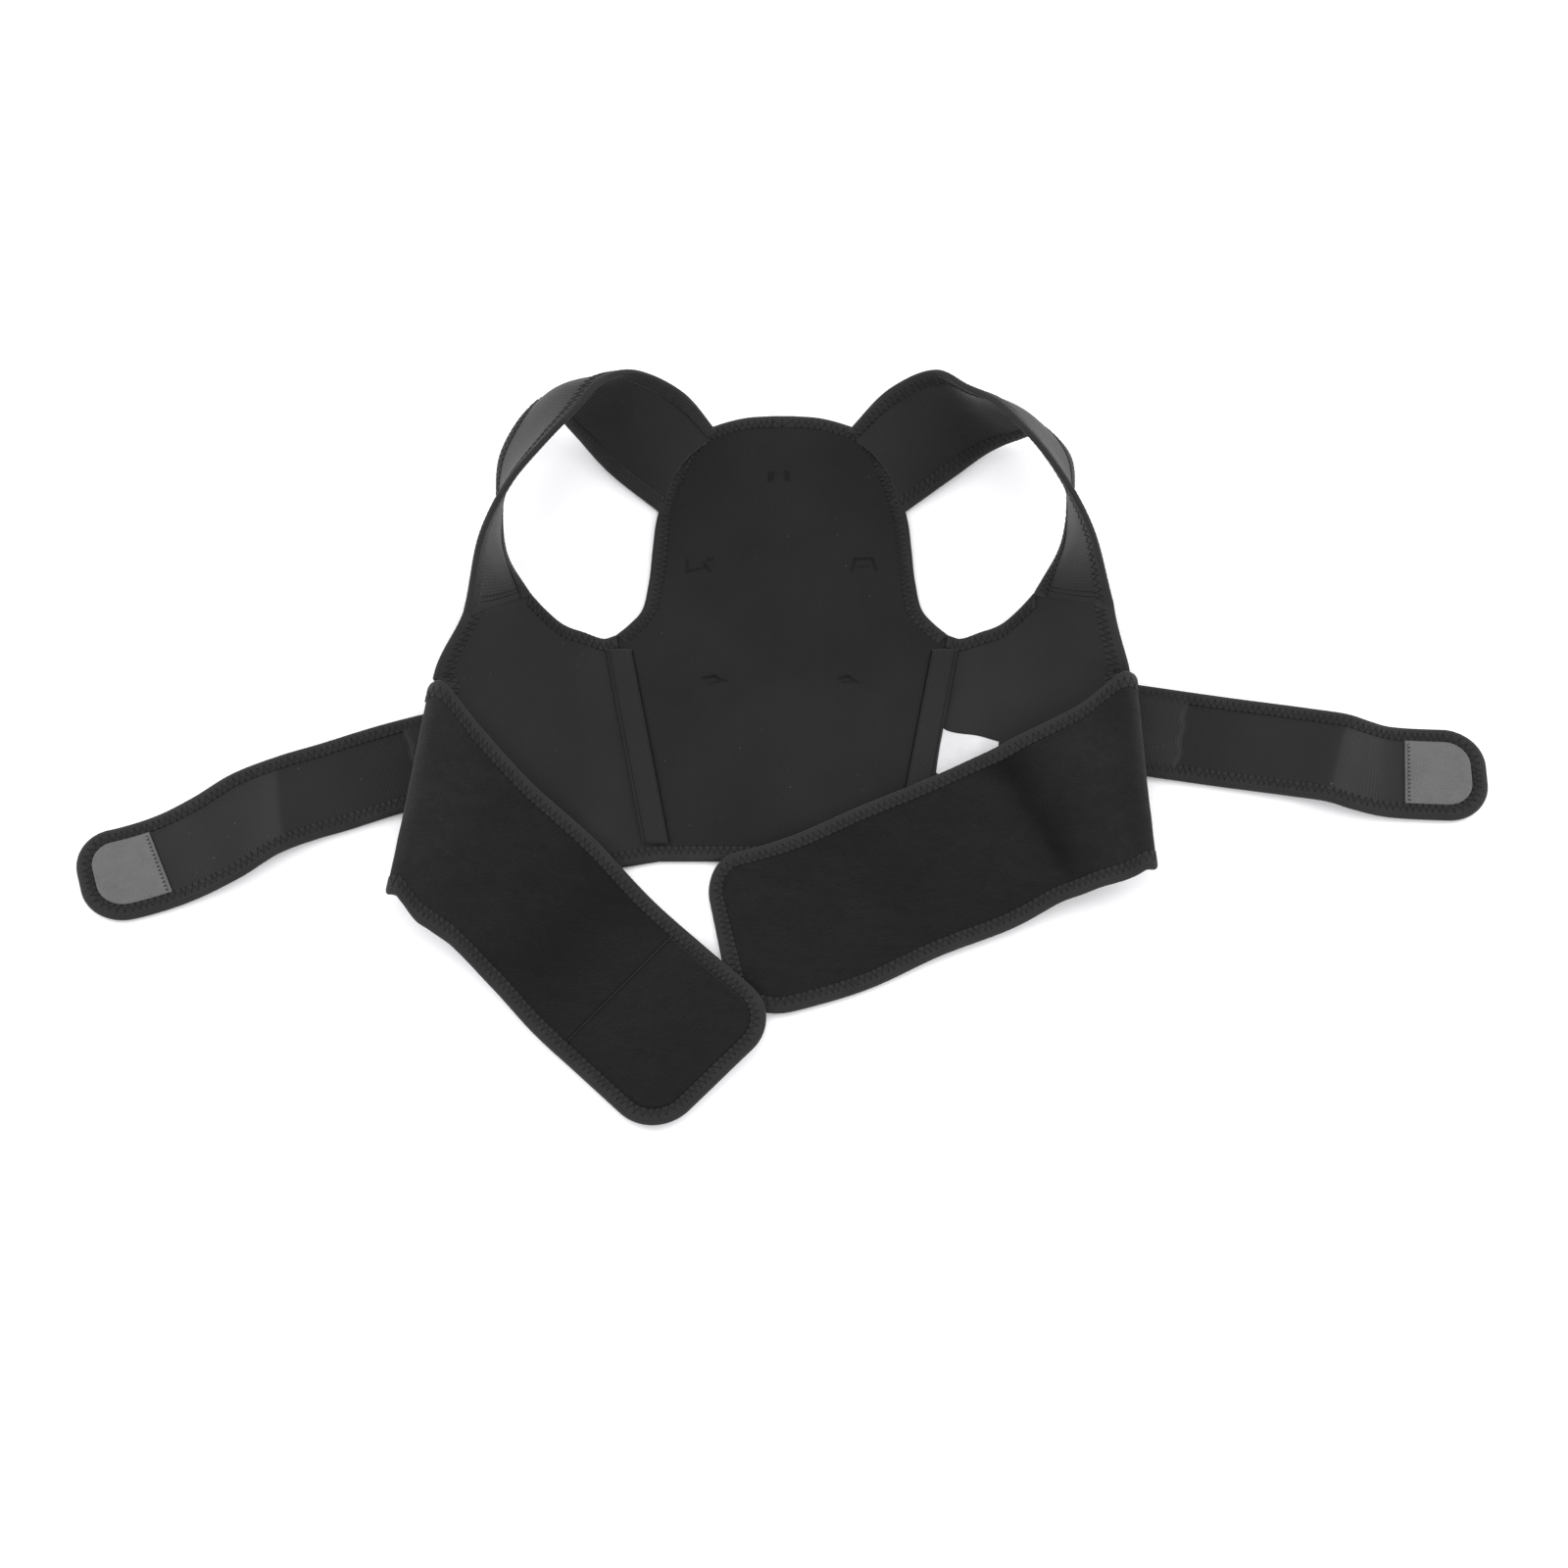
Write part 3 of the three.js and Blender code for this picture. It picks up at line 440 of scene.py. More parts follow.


# Painted light and shade across a belt, summed from its bands and clipped.
def belt_painted_shading(side):
    return lambda distance, offset: np.clip(belt_bands(BELT_PAINTED_SHADING, side, distance, offset), -0.8, 2)


def belt_ribbon(side):
    wing, mirror = WINGS[side], MIRROR[side]
    foot, head = (wing.place(1, v) + [0, 0, CLOTH_THICK / 2] for v in (0, FOLD_TOP_SHARE))
    middle, fold = (foot + head) / 2, unit(head - foot)
    arc = [np.array([mirror * out, 0, over]) * FOLD_RADIUS for out, over in ((0, 0), (1, 1), (0, 2))]
    middles, acrosses = [middle + step for step in arc], [fold] * 3
    for inward, down, high, turn, tilt in BELT[side]:
        x, y = middle[0] - mirror * inward * BELT_LENGTH, middle[1] - down * BELT_LENGTH
        middles.append([x, y, high * SIDE_HEIGHT])
        acrosses.append(direction(turn, tilt, side))
    length = np.linalg.norm(head - foot)

    def crease(distance, offset):
        """Bends across the belt that ease off at the fold and towards the tapes."""
        height = belt_bands(BELT_BENDS, side, distance, offset)
        ripple = 0.35 * np.sin(distance * 0.11 + offset * 0.05) * np.sin(offset * 0.06 + 0.8)
        return (height + ripple) * smooth(distance, 35, 65) * (1 - 0.75 * smooth(np.abs(offset), 30, 56))

    widths = {index: length for index in range(3)}
    ribbon = Ribbon(middles, acrosses, BELT_WIDTH, BELT_WIDTH, BELT_TIP_RADIUS, widths)
    outward = -np.array(direction(BELT[side][1][3], 0, side))
    at, push, drop = (np.array(row, float) for row in zip(*BELT_CORNER[side]))

    def fit(distance, share):
        """Lets the lower edge settle past the fold."""
        near = smooth(0.55 - share, 0, 0.55)
        # The table's corners are rounded by a mean over 8 mm
        around = (np.clip(distance + step, 0, at[-1]) for step in (-4, -2, 0, 2, 4))
        pushed, dropped = np.mean([(np.interp(d, at, push), np.interp(d, at, drop)) for d in around], 0)
        shift = outward * (pushed * near)[..., None]
        shift[..., 2] += dropped * near
        return shift

    ribbon.crease, ribbon.fit = crease, fit
    return ribbon


def tension_ribbon(side):
    mirror, root_y = MIRROR[side], up_to_y(TENSION_ROOT[side])
    root_x = casing_out(root_y) + TENSION_ROOT_SETBACK
    middles, acrosses = [], []
    for out, down, high, turn in TENSION[side]:
        z = TAPE_THICK / 2 + high * HUMP_HEIGHT + GAP
        middles.append([mirror * (root_x + out * TENSION_LENGTH), root_y - down * TENSION_LENGTH, z])
        acrosses.append(direction(turn, 0, side))
    return Ribbon(middles, acrosses, TENSION_WIDTH, TENSION_WIDTH, TENSION_TIP_RADIUS)


# ---- meshes


def make_piece(name, points, faces, material, stands_for=(), flat=None, painted_shading=None):
    mesh = bpy.data.meshes.new(name)
    mesh.from_pydata((np.asarray(points).reshape(-1, 3) * MM).tolist(), [], faces)
    mesh.validate()
    if flat is not None:
        layer = mesh.uv_layers.new(name="flat")
        index = np.empty(len(mesh.loops), int)
        mesh.loops.foreach_get("vertex_index", index)
        layer.data.foreach_set("uv", (np.asarray(flat).reshape(-1, 2) * MM)[index].astype(np.float32).ravel())
    # Per-point values that lighten or darken the cloth's colour: painted light and shade.
    if painted_shading is not None:
        painted_shading_values = mesh.attributes.new("painted_shading", "FLOAT", "POINT")
        painted_shading_values.data.foreach_set("value", np.asarray(painted_shading, np.float32).ravel())
    mesh.polygons.foreach_set("use_smooth", [True] * len(mesh.polygons))
    mesh.materials.append(material)
    obj = add_object(name, mesh)
    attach(obj, "root")
    if stands_for:
        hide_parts(*stands_for)
    face_out(obj)
    return obj


def face_out(obj):
    """Turns a closed mesh's faces outwards."""
    work = bmesh.new()
    work.from_mesh(obj.data)
    if work.calc_volume(signed=True) < 0:
        bmesh.ops.reverse_faces(work, faces=work.faces)
        work.to_mesh(obj.data)
    work.free()


def quads(rows, columns, wrap=False, start=0):
    a, b = np.meshgrid(np.arange(rows - 1), np.arange(columns if wrap else columns - 1), indexing="ij")
    a, b = a.ravel(), b.ravel()
    c, d = a + 1, (b + 1) % columns
    return np.stack([a * columns + b, c * columns + b, c * columns + d, a * columns + d], 1) + start


def make_sheet(name, grid, normal, layer, soft, flat, material, node, raised=0.0, painted_shading=None):
    """A closed sheet over a grid with softly rounded rims, its upper face raised by a number or grid."""
    rows, columns = grid.shape[:2]
    low, high = LAYER[layer]
    high = high + raised
    low, high = (np.broadcast_to(np.asarray(x, float), (rows, columns)) for x in (low, high))
    middle, half = (low + high) / 2, (high - low) / 2
    rim = np.ones((rows, columns))
    rim[0] = rim[-1] = rim[:, 0] = rim[:, -1] = soft
    top = grid + normal * (middle + half * rim)[..., None]
    bottom = grid + normal * (middle - half * rim)[..., None]
    count = rows * columns
    faces = [quads(rows, columns), quads(rows, columns, start=count)[:, ::-1]]
    order = np.arange(count).reshape(rows, columns)
    ring = np.r_[order[0, :-1], order[:-1, -1], order[-1, :0:-1], order[:0:-1, 0]]
    after = np.roll(ring, -1)
    faces.append(np.stack([ring, after, after + count, ring + count], 1))
    points, flat = np.concatenate([top, bottom]), np.tile(flat.reshape(-1, 2), (2, 1))
    painted_shading = None if painted_shading is None else np.tile(painted_shading.ravel(), 2)
    return make_piece(name, points, np.vstack(faces).tolist(), material, [node], flat, painted_shading)


# The tape's section, folded round a cloth's edge: how far in from the edge, and how high
TAPE_PROFILE = np.array([
    (10.0, 1.2), (9.85, 1.8), (9.3, 2.1), (7.4, 2.2), (4.6, 2.3), (2.2, 2.25), (0.8, 1.75),
    (0.12, 0.85), (0.0, 0.0), (0.12, -0.85), (0.8, -1.75), (2.2, -2.25), (4.6, -2.3), (7.4, -2.2),
    (9.3, -2.1), (9.85, -1.8), (10.0, -1.2),
])
TAPE_PUCKER, TAPE_PUCKER_PITCH = 0.05, 3.2


def tape(points_at, taper=0.0):
    """A tape folded round an edge. points_at(insets) gives points and normals along the edge."""
    point, normal = points_at(TAPE_PROFILE[:, 0])
    run = run_along(point[:, 0])
    fade = 0.62 + 0.38 * smooth(run, 0, taper) if taper else 1.0
    pucker = 1 + TAPE_PUCKER * np.sin(run * 2 * math.pi / TAPE_PUCKER_PITCH)
    height = TAPE_PROFILE[None, :, 1] * (fade * pucker)[:, None]
    surface = point + normal * height[..., None]
    rows, columns = surface.shape[:2]
    faces = quads(rows, columns, wrap=True).tolist()
    faces += [list(range(columns)), list(range((rows - 1) * columns, rows * columns))[::-1]]
    flat = np.stack(np.broadcast_arrays(run[:, None], run_along(TAPE_PROFILE)[None, :]), -1)
    return surface.reshape(-1, 3), faces, flat.reshape(-1, 2)


class Threads:
    """Many short threads gathered into one mesh."""

    def __init__(self):
        self.points, self.faces, self.count = [], [], 0

    def add(self, starts, ends, up, radius=0.26, arch=0.22):
        """A row of stitches from starts to ends, each an arch that stands on the surface's normal."""
        starts, ends, up = (np.asarray(x, float).reshape(-1, 3) for x in (starts, ends, up))
        beside = unit(np.cross(unit(ends - starts), up))
        sides = 4
        angle = np.arange(sides) * 2 * math.pi / sides
        shares, lift, size = np.array([(0, -0.35, 0.6), (0.3, 0.9, 1), (0.7, 0.9, 1), (1, -0.35, 0.6)]).T
        centre = starts[:, None] + (ends - starts)[:, None] * shares[None, :, None]
        centre = centre + up[:, None] * (lift * arch)[None, :, None]
        ring = beside[:, None] * np.cos(angle)[None, :, None] + up[:, None] * np.sin(angle)[None, :, None]
        body = centre[:, :, None] + ring[:, None] * (size * radius)[None, :, None, None]
        each = len(shares) * sides
        faces = quads(len(shares), sides, wrap=True).tolist()
        faces += [list(range(sides))[::-1], list(range(each - sides, each))]
        for _ in starts:
            self.faces += [[self.count + i for i in face] for face in faces]
            self.count += each
        self.points.append(body.reshape(-1, 3))

    def zigzag(self, points_at):
        """Zigzag stitches between two insets of an edge, above and below, with a short dark stub at each
        turn: painted shade for the needle hole.
        """
        rise, pitch = 2.3, 2.1
        point, normal = points_at(np.array([9.9, 4.4]))
        run = run_along(point[:, 0])
        stops = np.arange(2.0, run[-1] - 2.0, pitch)
        nearest = np.clip(np.searchsorted(run, stops), 0, len(run) - 1)
        side = np.arange(len(nearest)) % 2
        here, up = point[nearest, side], normal[nearest, side]
        for sign in (1, -1):
            lifted = here + up * (sign * (rise - 0.1 * (1 - side)) + 0.35 * (sign < 0))[:, None]
            self.add(lifted[:-1], lifted[1:], up[:-1] * sign)
            if sign > 0:
                # A short dark stub at each turn: painted shade for the needle hole.
                across = unit(lifted[1:] - lifted[:-1]) * 0.35
                marks.add(lifted[1:] - across, lifted[1:] + across, up[1:], 0.42, 0.12)

    def row(self, line, normal, gap=SEAM_GAP, rise=0.0, sign=1, **look):
        """A straight row of stitches along a line of points."""
        run = run_along(line)
        stops = np.arange(0.6, run[-1] - SEAM_PITCH, SEAM_PITCH)
        at = lambda values, where: np.stack([np.interp(where, run, values[:, k]) for k in range(3)], 1)
        up = unit(at(normal, stops))
        lift = up * rise * sign
        self.add(at(line, stops) + lift, at(line, stops + SEAM_PITCH - gap) + lift, up * sign, **look)

    def build(self, name, material):
        return make_piece(name, np.vstack(self.points), self.faces, material)


# ---- materials

LINT_COLOUR = (0.16, 0.16, 0.165, 1)


class Cloth:
    """A cloth material: its colour, roughness and bump come from flat and object coordinates."""

    def __init__(self, name, shade, rough, sheen, sheen_rough, specular):
        self.shade, self.material = shade, bpy.data.materials.new(name)
        self.material.use_nodes = True
        self.nodes, self.links = self.material.node_tree.nodes, self.material.node_tree.links
        self.shader = self.nodes["Principled BSDF"]
        values = (shade, shade, shade, 1), rough, sheen, sheen_rough, specular
        sockets = "Base Color", "Roughness", "Sheen Weight", "Sheen Roughness", "Specular IOR Level"
        for socket, value in zip(sockets, values):
            self.shader.inputs[socket].default_value = value
        self.flat = self.add("ShaderNodeUVMap", {}, uv_map="flat").outputs[0]
        self.space = self.add("ShaderNodeTexCoord", {}).outputs["Object"]

    def add(self, kind, sockets, **settings):
        """A new node. Each socket takes a value or another node's output."""
        node = self.nodes.new(kind)
        for setting, value in settings.items():
            setattr(node, setting, value)
        for socket, value in sockets.items():
            if isinstance(value, bpy.types.NodeSocket):
                self.links.new(value, node.inputs[socket])
            else:
                node.inputs[socket].default_value = value
        return node

    def drive(self, socket, output):
        self.links.new(output, self.shader.inputs[socket])

    def noise(self, scale, detail=3.0, rough=0.55, source=None):
        sockets = {"Scale": scale, "Detail": detail, "Roughness": rough, "Vector": source or self.space}
        return self.add("ShaderNodeTexNoise", sockets).outputs["Fac"]

    def wave(self, pitch, axis, distortion, closer=1.0):
        """Bands across the flat cloth for a knit's pitch in millimetres."""
        scale = 1000 / pitch / 6.2832 * closer
        sockets = {"Scale": scale, "Distortion": distortion, "Vector": self.flat}
        return self.add("ShaderNodeTexWave", sockets, bands_direction=axis).outputs["Fac"]

    def maths(self, operation, first, second):
        return self.add("ShaderNodeMath", {0: first, 1: second}, operation=operation).outputs[0]

    def sum(self, *parts):
        """Outputs added up, each times its share."""
        total, *others = (self.maths("MULTIPLY", output, share) for output, share in parts)
        for other in others:
            total = self.maths("ADD", total, other)
        return total

    def ramp(self, source, stops):
        node = self.add("ShaderNodeValToRGB", {0: source})
        elements = node.color_ramp.elements
        while len(elements) < len(stops):
            elements.new(0.5)
        for element, (place, shade) in zip(elements, stops):
            element.position = place
            element.color = (shade, shade, shade * 1.02, 1)
        return node.outputs[0]

    def tones(self, source, *stops):
        """A ramp whose stops are times the cloth's own shade."""
        return self.ramp(source, [(place, self.shade * times) for place, times in stops])

    def bump(self, height, distance, strength):
        sockets = {"Strength": strength, "Distance": distance, "Height": height}
        self.drive("Normal", self.add("ShaderNodeBump", sockets).outputs[0])

    def colour_by_painted_shading(self, colour):
        """Lightens or darkens the cloth's colour by the mesh's own values: painted light and shade."""
        painted_shading_values = self.add("ShaderNodeAttribute", {}, attribute_name="painted_shading").outputs["Fac"]
        sockets = {0: colour, "Scale": self.maths("ADD", painted_shading_values, 1.0)}
        self.drive("Base Color", self.add("ShaderNodeVectorMath", sockets, operation="SCALE").outputs[0])


def knit_material(name, shade, rough, sheen, pitch, lint, specular=0.18):
    """A fine jersey: staggered columns of loops, mottled, with a little lint."""
    cloth = Cloth(name, shade, rough, sheen, 0.5, specular)
    column, course = cloth.wave(pitch, "X", 0.4), cloth.wave(pitch, "Y", 0.4, 1.35)
    loops = cloth.maths("MULTIPLY", column, course)
    cloud, grain = cloth.noise(11), cloth.noise(900, 2)
    mixed = cloth.sum((cloud, 0.55), (grain, 0.3), (loops, 0.15))
    colour = cloth.tones(mixed, (0.36, 0.72), (0.5, 1), (0.66, 1.3))
    speck = cloth.ramp(cloth.noise(420, 1), [(0.78, 0.0), (0.84, lint)])
    sockets = {"Factor": speck, "A": colour, "B": LINT_COLOUR}
    cloth.colour_by_painted_shading(cloth.add("ShaderNodeMix", sockets, data_type="RGBA").outputs["Result"])
    cloth.drive("Roughness", cloth.ramp(grain, [(0.3, rough - 0.08), (0.7, rough + 0.06)]))
    cloth.bump(cloth.sum((loops, 1.0), (grain, 0.5)), 0.00022, 0.7)
    return cloth.material


def plush_material(name, shade):
    """Brushed loop cloth: a dense short pile with soft tufts."""
    cloth = Cloth(name, shade, 0.95, 0.09, 0.6, 0.08)
    pile, tuft = cloth.noise(620, 4, 0.7), cloth.noise(150, 3, 0.6)
    stretched = cloth.add("ShaderNodeMapping", {"Scale": (1, 2.4, 1), "Vector": cloth.space}).outputs[0]
    brushed = cloth.noise(17, 4, source=stretched)
    mixed = cloth.sum((pile, 0.4), (tuft, 0.3), (brushed, 0.3))
    cloth.colour_by_painted_shading(cloth.tones(mixed, (0.33, 0.62), (0.5, 1), (0.68, 1.6)))
    cloth.bump(cloth.sum((pile, 1.0), (tuft, 0.8)), 0.0007, 0.85)
    return cloth.material


def tape_material(name, shade):
    """Knitted elastic: fine ribs along the tape with a short cross weave."""
    cloth = Cloth(name, shade, 0.72, 0.1, 0.45, 0.2)
    rib, cross = cloth.wave(0.9, "Y", 0.6), cloth.wave(0.7, "X", 0.8)
    woven = cloth.maths("MULTIPLY", rib, cross)
    mixed = cloth.sum((woven, 0.45), (cloth.noise(60), 0.55))
    cloth.drive("Base Color", cloth.tones(mixed, (0.2, 0.7), (0.45, 1), (0.7, 1.3)))
    cloth.drive("Roughness", cloth.ramp(woven, [(0.2, 0.62), (0.8, 0.8)]))
    cloth.bump(cloth.maths("ADD", rib, woven), 0.0002, 0.8)
    return cloth.material


def hook_material(name, shade):
    """A field of tiny moulded hooks in rows."""
    cloth = Cloth(name, shade, 0.55, 0.1, 0.4, 0.4)
    sockets = {"Scale": 900, "Randomness": 0.35, "Vector": cloth.flat}
    cells = cloth.add("ShaderNodeTexVoronoi", sockets).outputs["Distance"]
    mixed = cloth.sum((cells, 0.55), (cloth.noise(90, 4), 0.45))
    cloth.drive("Base Color", cloth.tones(mixed, (0.2, 1.25), (0.5, 1), (0.8, 0.6)))
    cloth.bump(cloth.maths("SUBTRACT", 1.0, cells), 0.0006, 0.8)
    return cloth.material


def label_material(name):
    """White satin ribbon with a fine diagonal weave."""
    cloth = Cloth(name, 0.8, 0.5, 0.2, 0.3, 0.4)
    weave = cloth.wave(0.45, "DIAGONAL", 0.3)
    mixed = cloth.sum((weave, 0.4), (cloth.noise(120), 0.6))
    cloth.drive("Base Color", cloth.ramp(mixed, [(0.25, 0.56), (0.6, 0.65), (0.8, 0.7)]))
    cloth.bump(weave, 0.00008, 0.6)
    return cloth.material


def thread_material(name, shade):
    cloth = Cloth(name, shade, 0.75, 0.0, 0.4, 0.12)
    twist = cloth.noise(1600, 2)
    cloth.drive("Base Color", cloth.tones(twist, (0.3, 0.7), (0.7, 1.35)))
    cloth.bump(twist, 0.0001, 0.6)
    return cloth.material


FOAM = knit_material("foam_jersey", 0.0105, 0.88, 0.07, 1.1, 0.5)
NYLON = knit_material("smooth_nylon", 0.0122, 0.72, 0.08, 0.7, 0.3)
STRAP = knit_material("strap_jersey", 0.0118, 0.8, 0.2, 1.0, 0.4)
TENSION_JERSEY = knit_material("tension_jersey", 0.0068, 0.6, 0.06, 1.0, 0.4, 0.25)
PLUSH = plush_material("loop_plush", 0.0055)
PATCH = plush_material("patch_plush", 0.005)
TAPE = tape_material("knitted_tape", 0.0165)
HOOK = hook_material("hook_field", 0.095)
LABEL = label_material("satin_label")
THREAD = thread_material("thread", 0.018)
# Dark thread for the seams and bar tacks, also used for the lines and stubs of painted shade.
DARK_THREAD_AND_SHADE = thread_material("dark_thread_and_painted_shade", 0.003)

# ---- centre panel

# Steps between the points of a cloth and along a tape
STEP = 1.6
TAPE_STEP = 1.0
threads = Threads()
# Dark stitches, together with lines and stubs of painted shade.
marks = Threads()

# Sewn marks on the panel: x, y, half width, half height, depth of the dent
DENTS = [
    (-7.6, 155.5, 4, 6, 0.9), (3.2, 156.5, 4, 6, 0.9), (-55, 84, 11, 8, 0.8), (54, 85, 10, 8, 0.8),
    (-44, -5, 9, 5, 0.7), (42, -5, 8, 5, 0.7),
]
# Soft creases on the panel: x, y, length, width, turn in degrees, depth
CREASES = [
    (-58, -16, 26, 5, 40, 0.55), (60, -14, 28, 5, -35, 0.55), (-70, 60, 30, 7, 80, 0.35),
    (72, 62, 30, 7, -80, 0.35), (0, 95, 60, 16, 90, -0.4), (-30, 30, 50, 14, 100, -0.3),
    (28, 20, 55, 15, 85, -0.3), (0, -70, 80, 20, 5, 0.35),
]


def panel_relief(x, y):
    height = 0.25 * np.sin(x * 0.045 + 0.4) * np.sin(y * 0.033 + 1.0) + 0.12 * np.sin(x * 0.11 + y * 0.07)
    for cx, cy, wide, tall, depth in DENTS:
        height -= depth * bell(x - cx, wide) * bell(y - cy, tall)
    for cx, cy, long, wide, turn, depth in CREASES:
        c, s = math.cos(math.radians(turn)), math.sin(math.radians(turn))
        a, b = (x - cx) * c + (y - cy) * s, (y - cy) * c - (x - cx) * s
        height -= depth * bell(a, long) * bell(b, wide)
    return height


def build_panel():
    low = np.linspace(1.5 - HEM_TO_ORIGIN, up_to_y(PANEL_EDGE[0][1]) - 2, int(165 / STEP))
    side = np.stack([casing_out(low) - 0.1, low], 1)
    at = np.linspace(0.0, 1, int(270 / STEP))
    upper = panel_edge(at, np.full(at.shape, CLOTH_INSET))[:, :2]
    upper[:, 0] = np.minimum(upper[:, 0], PANEL_HALF_WIDTH - 1.0)
    edge = np.vstack([side, upper[upper[:, 1] > side[-1, 1] + 0.3]])
    edge[:, 1] = np.maximum.accumulate(edge[:, 1])
    across = np.linspace(-1, 1, int(210 / STEP))
    x = edge[:, :1] * across[None]
    y = np.repeat(edge[:, 1:], len(across), 1)
    # Thinner towards the tape and the casings
    inner = smooth(1 - np.abs(across), 0.0, 0.09)[None]
    inner = inner * smooth(edge[-1, 1] - y, 4, 26) * smooth(y + HEM_TO_ORIGIN, 4, 26)
    grid = np.stack([x, y, 0 * x], -1)
    flat, raised = grid[..., :2], (0.7 + panel_relief(x, y)) * inner
    return make_sheet("panel_cloth", grid, UP, "panel", 0.8, flat, FOAM, "centre_panel", raised)


def panel_tape_points(insets):
    at = PANEL_CURVE.by_length(np.arange(0, PANEL_CURVE.length, TAPE_STEP))
    half = panel_edge(at[:, None], np.broadcast_to(insets, (len(at), len(insets))))
    left = half[::-1] * [-1, 1, 1]
    middle = (half[-1:] + left[:1]) / 2
    point = np.concatenate([half, middle, left])
    point[..., 2] = TAPE_THICK / 2
    return point, np.broadcast_to(UP, point.shape)


def wing_edge_points(wing, where):
    """Points and normals along an edge of a wing: armhole, side or the hem's half."""
    start, end, length = {
        "side": (FOLD_TOP_SHARE - 0.02, 1, 70),
        "armhole": (0, STRAP_SEAM_SHARE + 0.01, 95),
        "hem": (0, 1, 150),
    }[where]
    along = np.linspace(start, end, int(length / TAPE_STEP))[:, None]

    def points_at(insets):
        if where == "side":
            u, v = 1 - insets / wing.width_at(along), along
        else:
            v = insets / wing.length_at(along)
            u, v = along, v if where == "hem" else 1 - v
        u, v = np.broadcast_arrays(u, v)
        normal = wing.normal(u, v)
        return wing.place(u, v) + normal * (TAPE_THICK / 2), normal

    return points_at


def hem_points(insets):
    (left, left_up), (right, right_up) = (wing_edge_points(WINGS[side], "hem")(insets) for side in MIRROR)
    gap = np.linspace(left[0], right[0], int(150 / TAPE_STEP))[1:-1]
    normal = np.concatenate([left_up[::-1], np.broadcast_to(UP, gap.shape), right_up])
    return np.concatenate([left[::-1], gap, right]), normal


def tape_piece(edge, points_at, side="", taper=0.0):
    """A tape with its stitches, along an edge of the part or of one side."""
    end = f"_{side}" if side else ""
    points, faces, flat = tape(points_at, taper)
    piece = make_piece(f"{edge}_tape{end}", points, faces, TAPE, [f"{edge}_binding{end}"], flat)
    threads.zigzag(points_at)
    return piece


panel = build_panel()
panel_tape = tape_piece("panel", panel_tape_points)
hem_tape = tape_piece("hem", hem_points)

# ---- wings


def build_wing(wing):
    side = wing.side
    u = np.linspace(0, 1, int(150 / STEP))
    v = np.linspace(0, 1, int(165 / STEP))
    uu, vv = np.meshgrid(u, v, indexing="ij")
    inset_side = np.where(vv > FOLD_TOP_SHARE, CLOTH_INSET, 0.4) / wing.width_at(vv)
    inset_foot = CLOTH_INSET / wing.length_at(uu)
    inset_top = np.where(uu < STRAP_SEAM_SHARE + 0.005, CLOTH_INSET, 0.0) / wing.length_at(uu)
    uu = uu * (1 - inset_side)
    vv = inset_foot + vv * (1 - inset_foot - inset_top)
    grid = wing.place(uu, vv)
    normal = unit(np.cross(np.gradient(grid, axis=0), np.gradient(grid, axis=1))) * wing.mirror
    x, y = np.abs(grid[..., 0]), grid[..., 1]
    quilting = 0.15 * np.sin(x * 0.09 + y * 0.035) * np.sin(y * 0.06 + 0.5)
    name, node, flat = f"wing_cloth_{side}", f"wing_{side}", grid[..., :2]
    cloth = make_sheet(name, grid, normal, "wing", 0.8, flat, NYLON, node, quilting)
    armhole, edge = (tape_piece(where, wing_edge_points(wing, where), side) for where in ("armhole", "side"))
    return cloth, armhole, edge


def build_casing(wing):
    """A flat sewn tunnel with a stay inside: a low dome with a groove near each side, a row of stitches on
    the wing's side, and an unbroken dark line of painted shade on the panel's side.
    """
    side, mirror = wing.side, wing.mirror
    foot_y = -HEM_TO_ORIGIN + 11.5
    head_y = up_to_y(ARMHOLE_EDGE[1][1]) - 9.0
    y = np.linspace(foot_y, head_y, int(150 / STEP))
    across = np.linspace(-1, 1, 21)
    x = casing_out(y)[:, None] + across[None] * CASING_WIDTH / 2
    grid = np.stack([x * mirror, np.repeat(y[:, None], len(across), 1), 0 * x], -1)
    dome = 0.55 + 0.45 * smooth(1 - np.abs(across), 0.12, 0.5)
    groove = 0.25 * bell(np.abs(across) - 0.8, 0.07)
    ends = smooth(np.minimum(y - y[0], y[-1] - y), -1, 9)[:, None]
    ripple = 0.12 * np.sin(y * 0.5)[:, None] * np.abs(across)[None] ** 3
    raised = (CASING_THICK * (dome - groove))[None] * (0.75 + 0.25 * ends) + ripple
    flat = np.stack([grid[..., 1], x - casing_out(y)[:, None]], -1)
    name, node = f"casing_{side}", f"stay_casing_{side}"
    piece = make_sheet(name, grid, UP, "casing", 0.5, flat, NYLON, node, raised)
    # A sunk unbroken dark line on the panel's side, painted shade for the shadow gap at the casing's edge,
    # and a row of stitches on the wing's side
    for column, radius, gap, sunk in ((0, 0.5, 0.0, 0.5), (18, 0.2, SEAM_GAP, 0)):
        line = grid[:, column].copy()
        line[:, 2] = LAYER["casing"][1] + raised[:, column] - sunk
        marks.row(line, np.broadcast_to(UP, line.shape), gap, 0.05, radius=radius, arch=0.12)
    return piece


# ---- ribbons


def ribbon_grid(ribbon, start, margin, across_count, step=STEP):
    """Rows of distance and offset over a ribbon with a rounded tip."""
    corner, reach = ribbon.length - ribbon.radius, ribbon.radius - margin
    straight = np.linspace(start, corner, max(int((ribbon.length - start) / step), 8))
    angle = np.linspace(0, math.pi / 2, 16)[1:]
    distance = np.r_[straight, corner + reach * np.sin(angle)]
    widest = ribbon.start / 2
    half = np.r_[np.full(len(straight), widest - margin), widest - ribbon.radius + reach * np.cos(angle)]
    across = np.linspace(-1, 1, across_count)
    return np.repeat(distance[:, None], across_count, 1), half[:, None] * across[None]


